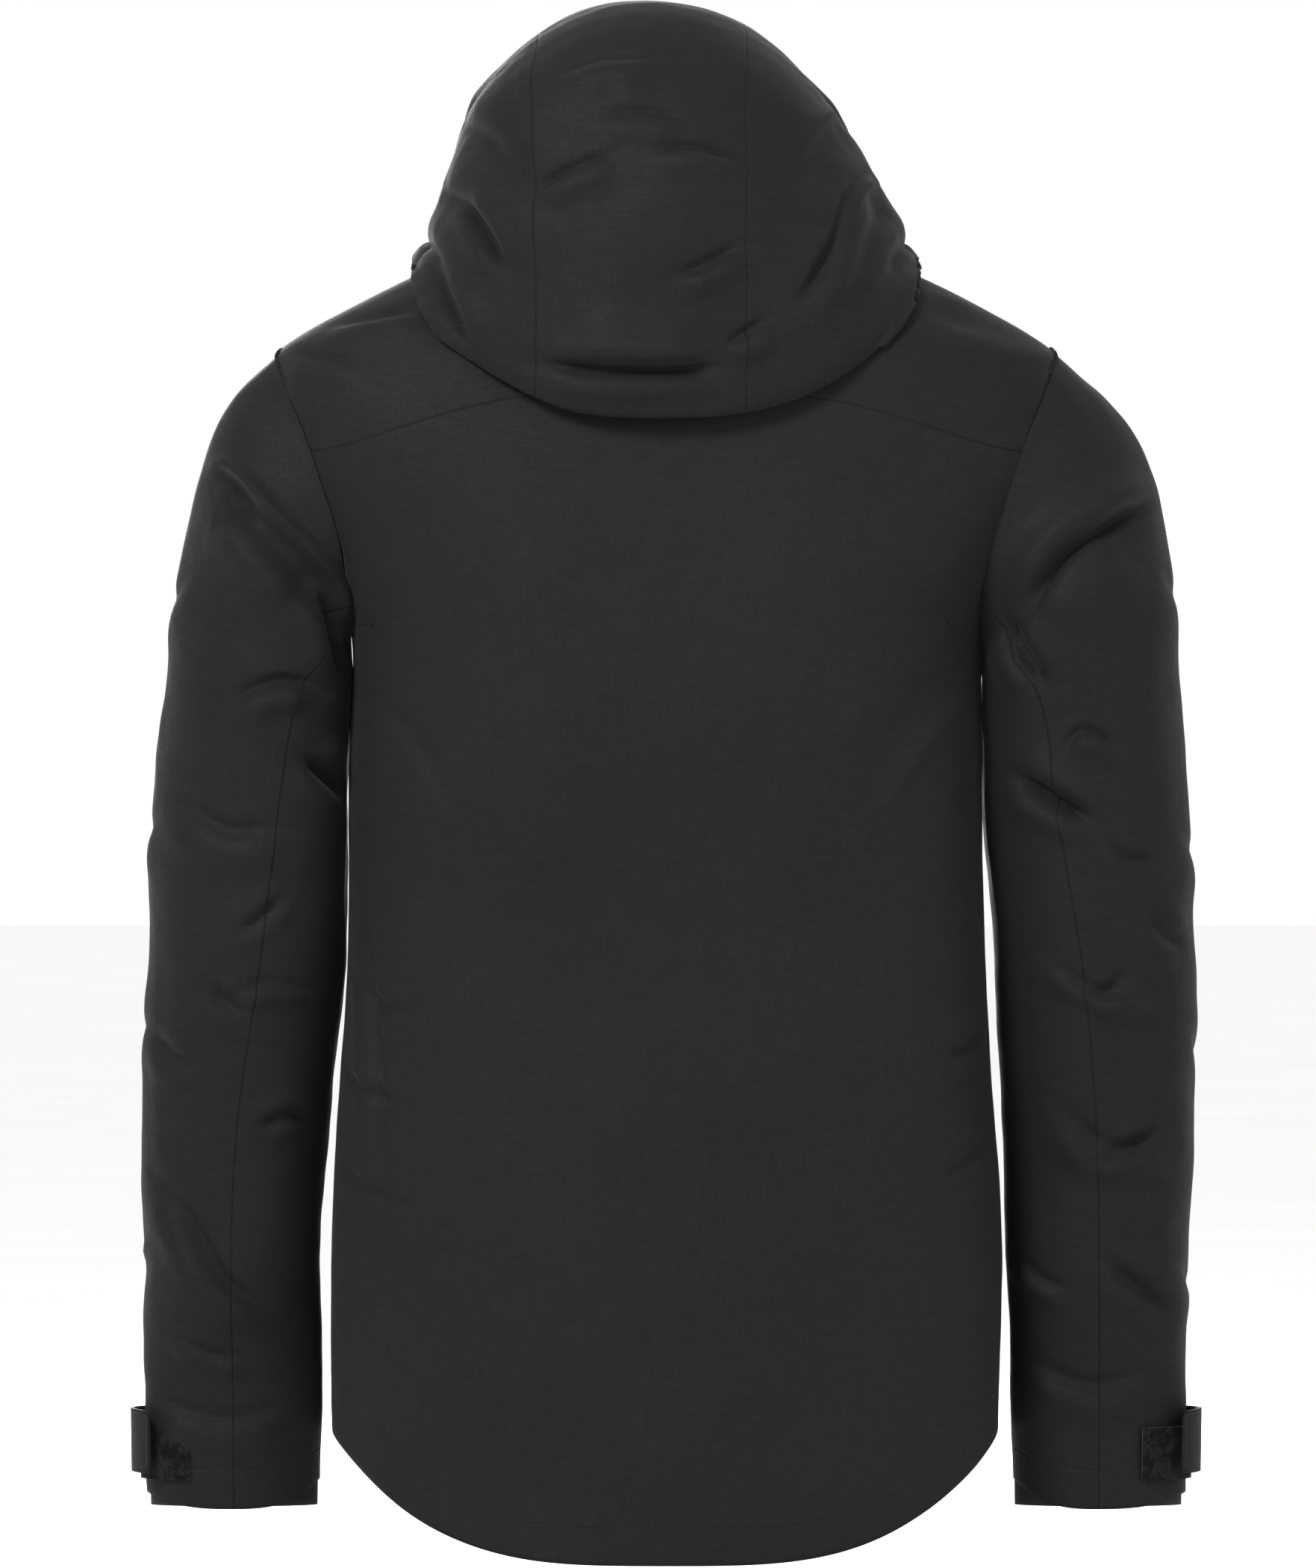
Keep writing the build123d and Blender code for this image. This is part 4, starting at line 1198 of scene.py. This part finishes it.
def make_zip(prefix, suffix, place, k, tape_half, side, tapes, coils):
    length = place[4]
    vertices, faces, _ = zip_teeth(length, k)
    teeth = piece(f"{prefix}_zip_teeth{suffix}", placed(vertices, place, side), faces, COIL)
    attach(teeth, "jacket")
    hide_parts(coils)
    for half, word in ((1, "a"), (-1, "b")):
        grid = tape_grid(half * 3.0 * k, half * tape_half, -6 * k, length + 2.5 * k)
        tape = piece(f"{prefix}_zip_tape_{word}{suffix}", placed(grid, place, side),
                     grid_faces(grid), TAPE, thickness=0.7)
        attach(tape, "jacket")
        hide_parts(tapes[0] if half > 0 else tapes[-1])


def front_surface(x, z):
    return trunk(trunk_angle(x, z), z)


def welt(x, low, high):
    """A bonded frame round a pocket's zip: loops from its inner edge out to its outer edge."""
    turn = np.linspace(0, 2 * math.pi, 120, endpoint=False)
    c, s = np.cos(turn), np.sin(turn)
    square = (np.abs(c) ** 12 + np.abs(s) ** 12) ** (-1 / 12)
    loops = []
    for inset, lift in WELT_LOOPS:
        half_x = POCKET_WINDOW - 0.4 + inset
        half_z = (high - low) / 2 + 3 + inset
        z = (low + high) / 2 + half_z * s * square
        along_x = x + half_x * c * square
        dip = WELT_DIP * smooth((low + 1 - z) / 4)
        loops.append(off_surface(front_surface, along_x, z, dip - lift))
    return np.stack(loops, 0)


def make_pocket(name, side):
    x, low, high, _ = POCKETS[name]
    suffix = "" if name == "chest" else {1: "_left", -1: "_right"}[side]
    place = zip_frame(x, low, high, 3.2)
    make_zip(name, suffix, place, 0.75, 9.0, side, [f"{name}_zip_tapes{suffix}"],
             f"{name}_zip_coils{suffix}")
    loops = welt(x, low, high)
    faces = grid_faces(loops, closed=True)
    if side < 0:
        loops, faces = mirrored(loops), faces[:, ::-1]
    frame_piece = piece(f"{name}_pocket_welt{suffix}", loops, faces, BINDING,
                        inside=(side * x, CENTRE_Y, (low + high) / 2))
    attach(frame_piece, "jacket")


def pocket_cloth(name, xs, zs, node_name, side=1):
    """A flat piece of lining that lies behind the front."""
    x, z = np.meshgrid(np.linspace(*xs, 24), np.linspace(*zs, 60), indexing="ij")
    p = off_surface(front_surface, x, z, POCKET_DEPTH)
    if side < 0:
        p = mirrored(p)
    made = piece(name, p, grid_faces(p), TRICOT, thickness=1.2, uneven=0.3)
    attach(made, "jacket")
    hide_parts(node_name)


ZIP_LOW_Z, ZIP_TOP_Z = -708.0, -20


def make_zips():
    place = zip_frame(0.0, ZIP_LOW_Z, ZIP_LINE_Z, 3.4)
    length = (ZIP_TOP_Z - ZIP_LOW_Z) * math.hypot(1, ZIP_LINE_LEAN)
    place = place[:4] + (length,)
    make_zip("front", "", place, 1.0, 15.0, 1, ["front_zip_tape_left", "front_zip_tape_right"],
             "front_zip_coils")
    flap = tape_grid(-22, 22, 0, length - 4, depth=3.6, rows=90)
    backing = piece("storm_flap_cloth", placed(flap, place), grid_faces(flap), FACING,
                    thickness=1.2, uneven=0.25)
    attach(backing, "jacket")
    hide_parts("storm_flap")
    for name, (_, _, _, sides) in POCKETS.items():
        for side in sides:
            make_pocket(name, side)
    for word, side in (("left", 1), ("right", -1)):
        pocket_cloth(f"hand_pocket_cloth_{word}", (62, 158), (-640, -405),
                     f"hand_pocket_bag_{word}", side)
    pocket_cloth("chest_pocket_cloth", (32, 128), (-378, -226), "chest_pocket_bag")


HEM_FACING_FROM = 27.0  # its distance from the zip's middle


def make_hem():
    """The facing turned up inside the hem."""
    edge = trunk_angle(HEM_FACING_FROM, HEM_FRONT)
    angle = np.linspace(edge, 2 * math.pi - edge, 260)
    a, t = np.meshgrid(angle, np.linspace(0.4, 26, 12), indexing="ij")
    hem = hem_z(np.where(np.cos(a) > 0, HEM_FRONT, HEM_BACK), np.abs(np.sin(a)))
    p = off_surface(trunk, a, hem + t, 2.7)
    facing = piece("hem_cloth", p, grid_faces(p), FACING, thickness=1.0,
                   inside=(0, CENTRE_Y, -700))
    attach(facing, "jacket")
    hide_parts("hem_facing")


make_sleeve("left", 1, LEFT_STROKES)
make_sleeve("right", -1, RIGHT_STROKES)
make_cuff("left", 1)
make_cuff("right", -1)
make_hood()
make_collar()
make_zips()
make_hem()


# ---- finishes of the CAD pieces that stay


for part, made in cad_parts.items():
    if any(word in part for word in ("slider", "puller", "stops")):
        finish = METAL
    elif "label" in part:
        finish = LABEL
    else:
        continue
    made.data.materials.clear()
    made.data.materials.append(finish)


# ---- floor, light and camera


def area_light(name, place, target, size, watts):
    data = bpy.data.lights.new(name, "AREA")
    data.shape = "DISK"
    data.size = size
    data.energy = watts
    light = placed_object(name, data)
    light.location = place
    light.rotation_euler = (Vector(target) - Vector(place)).to_track_quat("-Z", "Y").to_euler()


FLOOR_HALF, FLOOR_Z = 40, -0.83
VIEW_HEIGHT, VIEW_DISTANCE = 0.939, 8.0
VIEW_CENTRE = Vector((0.0049, CENTRE_Y * MM, -0.3222))


def make_stage():
    made, tree, shader = new_material("pale_floor", "shell_fabric", 0.8)
    speckle = noise(tree, (3.0, 3.0, 3.0), detail=4.0)
    tinted(tree, shader, (0.93, 0.93, 0.93), spread(tree, speckle, 0.3, 0.7, 0.99, 1.01))
    mesh = bpy.data.meshes.new("floor")
    far = FLOOR_HALF
    corners = [(x, y, FLOOR_Z) for x, y in ((-far, -far), (far, -far), (far, far), (-far, far))]
    mesh.from_pydata(corners, [], [(0, 1, 2, 3)])
    mesh.materials.append(made)
    floor = placed_object("floor", mesh)
    world = bpy.data.worlds.new("studio")
    world.use_nodes = True
    sky = world.node_tree.nodes["Background"].inputs
    sky["Color"].default_value = (1, 1, 1, 1)
    sky["Strength"].default_value = 1.0
    bpy.context.scene.world = world
    area_light("key", (1.6, 2.6, 1.9), (0, 0, -0.3), 1.2, 170)
    area_light("fill", (-2.4, 2.2, 0.4), (0, 0, -0.4), 1.4, 35)
    area_light("front_key", (0.3, -3.4, 0.3), (0, 0, -0.3), 1.6, 80)
    camera = placed_object("camera", bpy.data.cameras.new("camera"))
    camera.data.sensor_fit = "VERTICAL"
    camera.data.angle = 2 * math.atan(VIEW_HEIGHT / 2 / VIEW_DISTANCE)
    camera.location = VIEW_CENTRE + Vector((0, VIEW_DISTANCE, 0))
    camera.rotation_euler = (math.pi / 2, 0, math.pi)
    bpy.context.scene.camera = camera
    bpy.context.scene.view_settings.view_transform = "Standard"


make_stage()
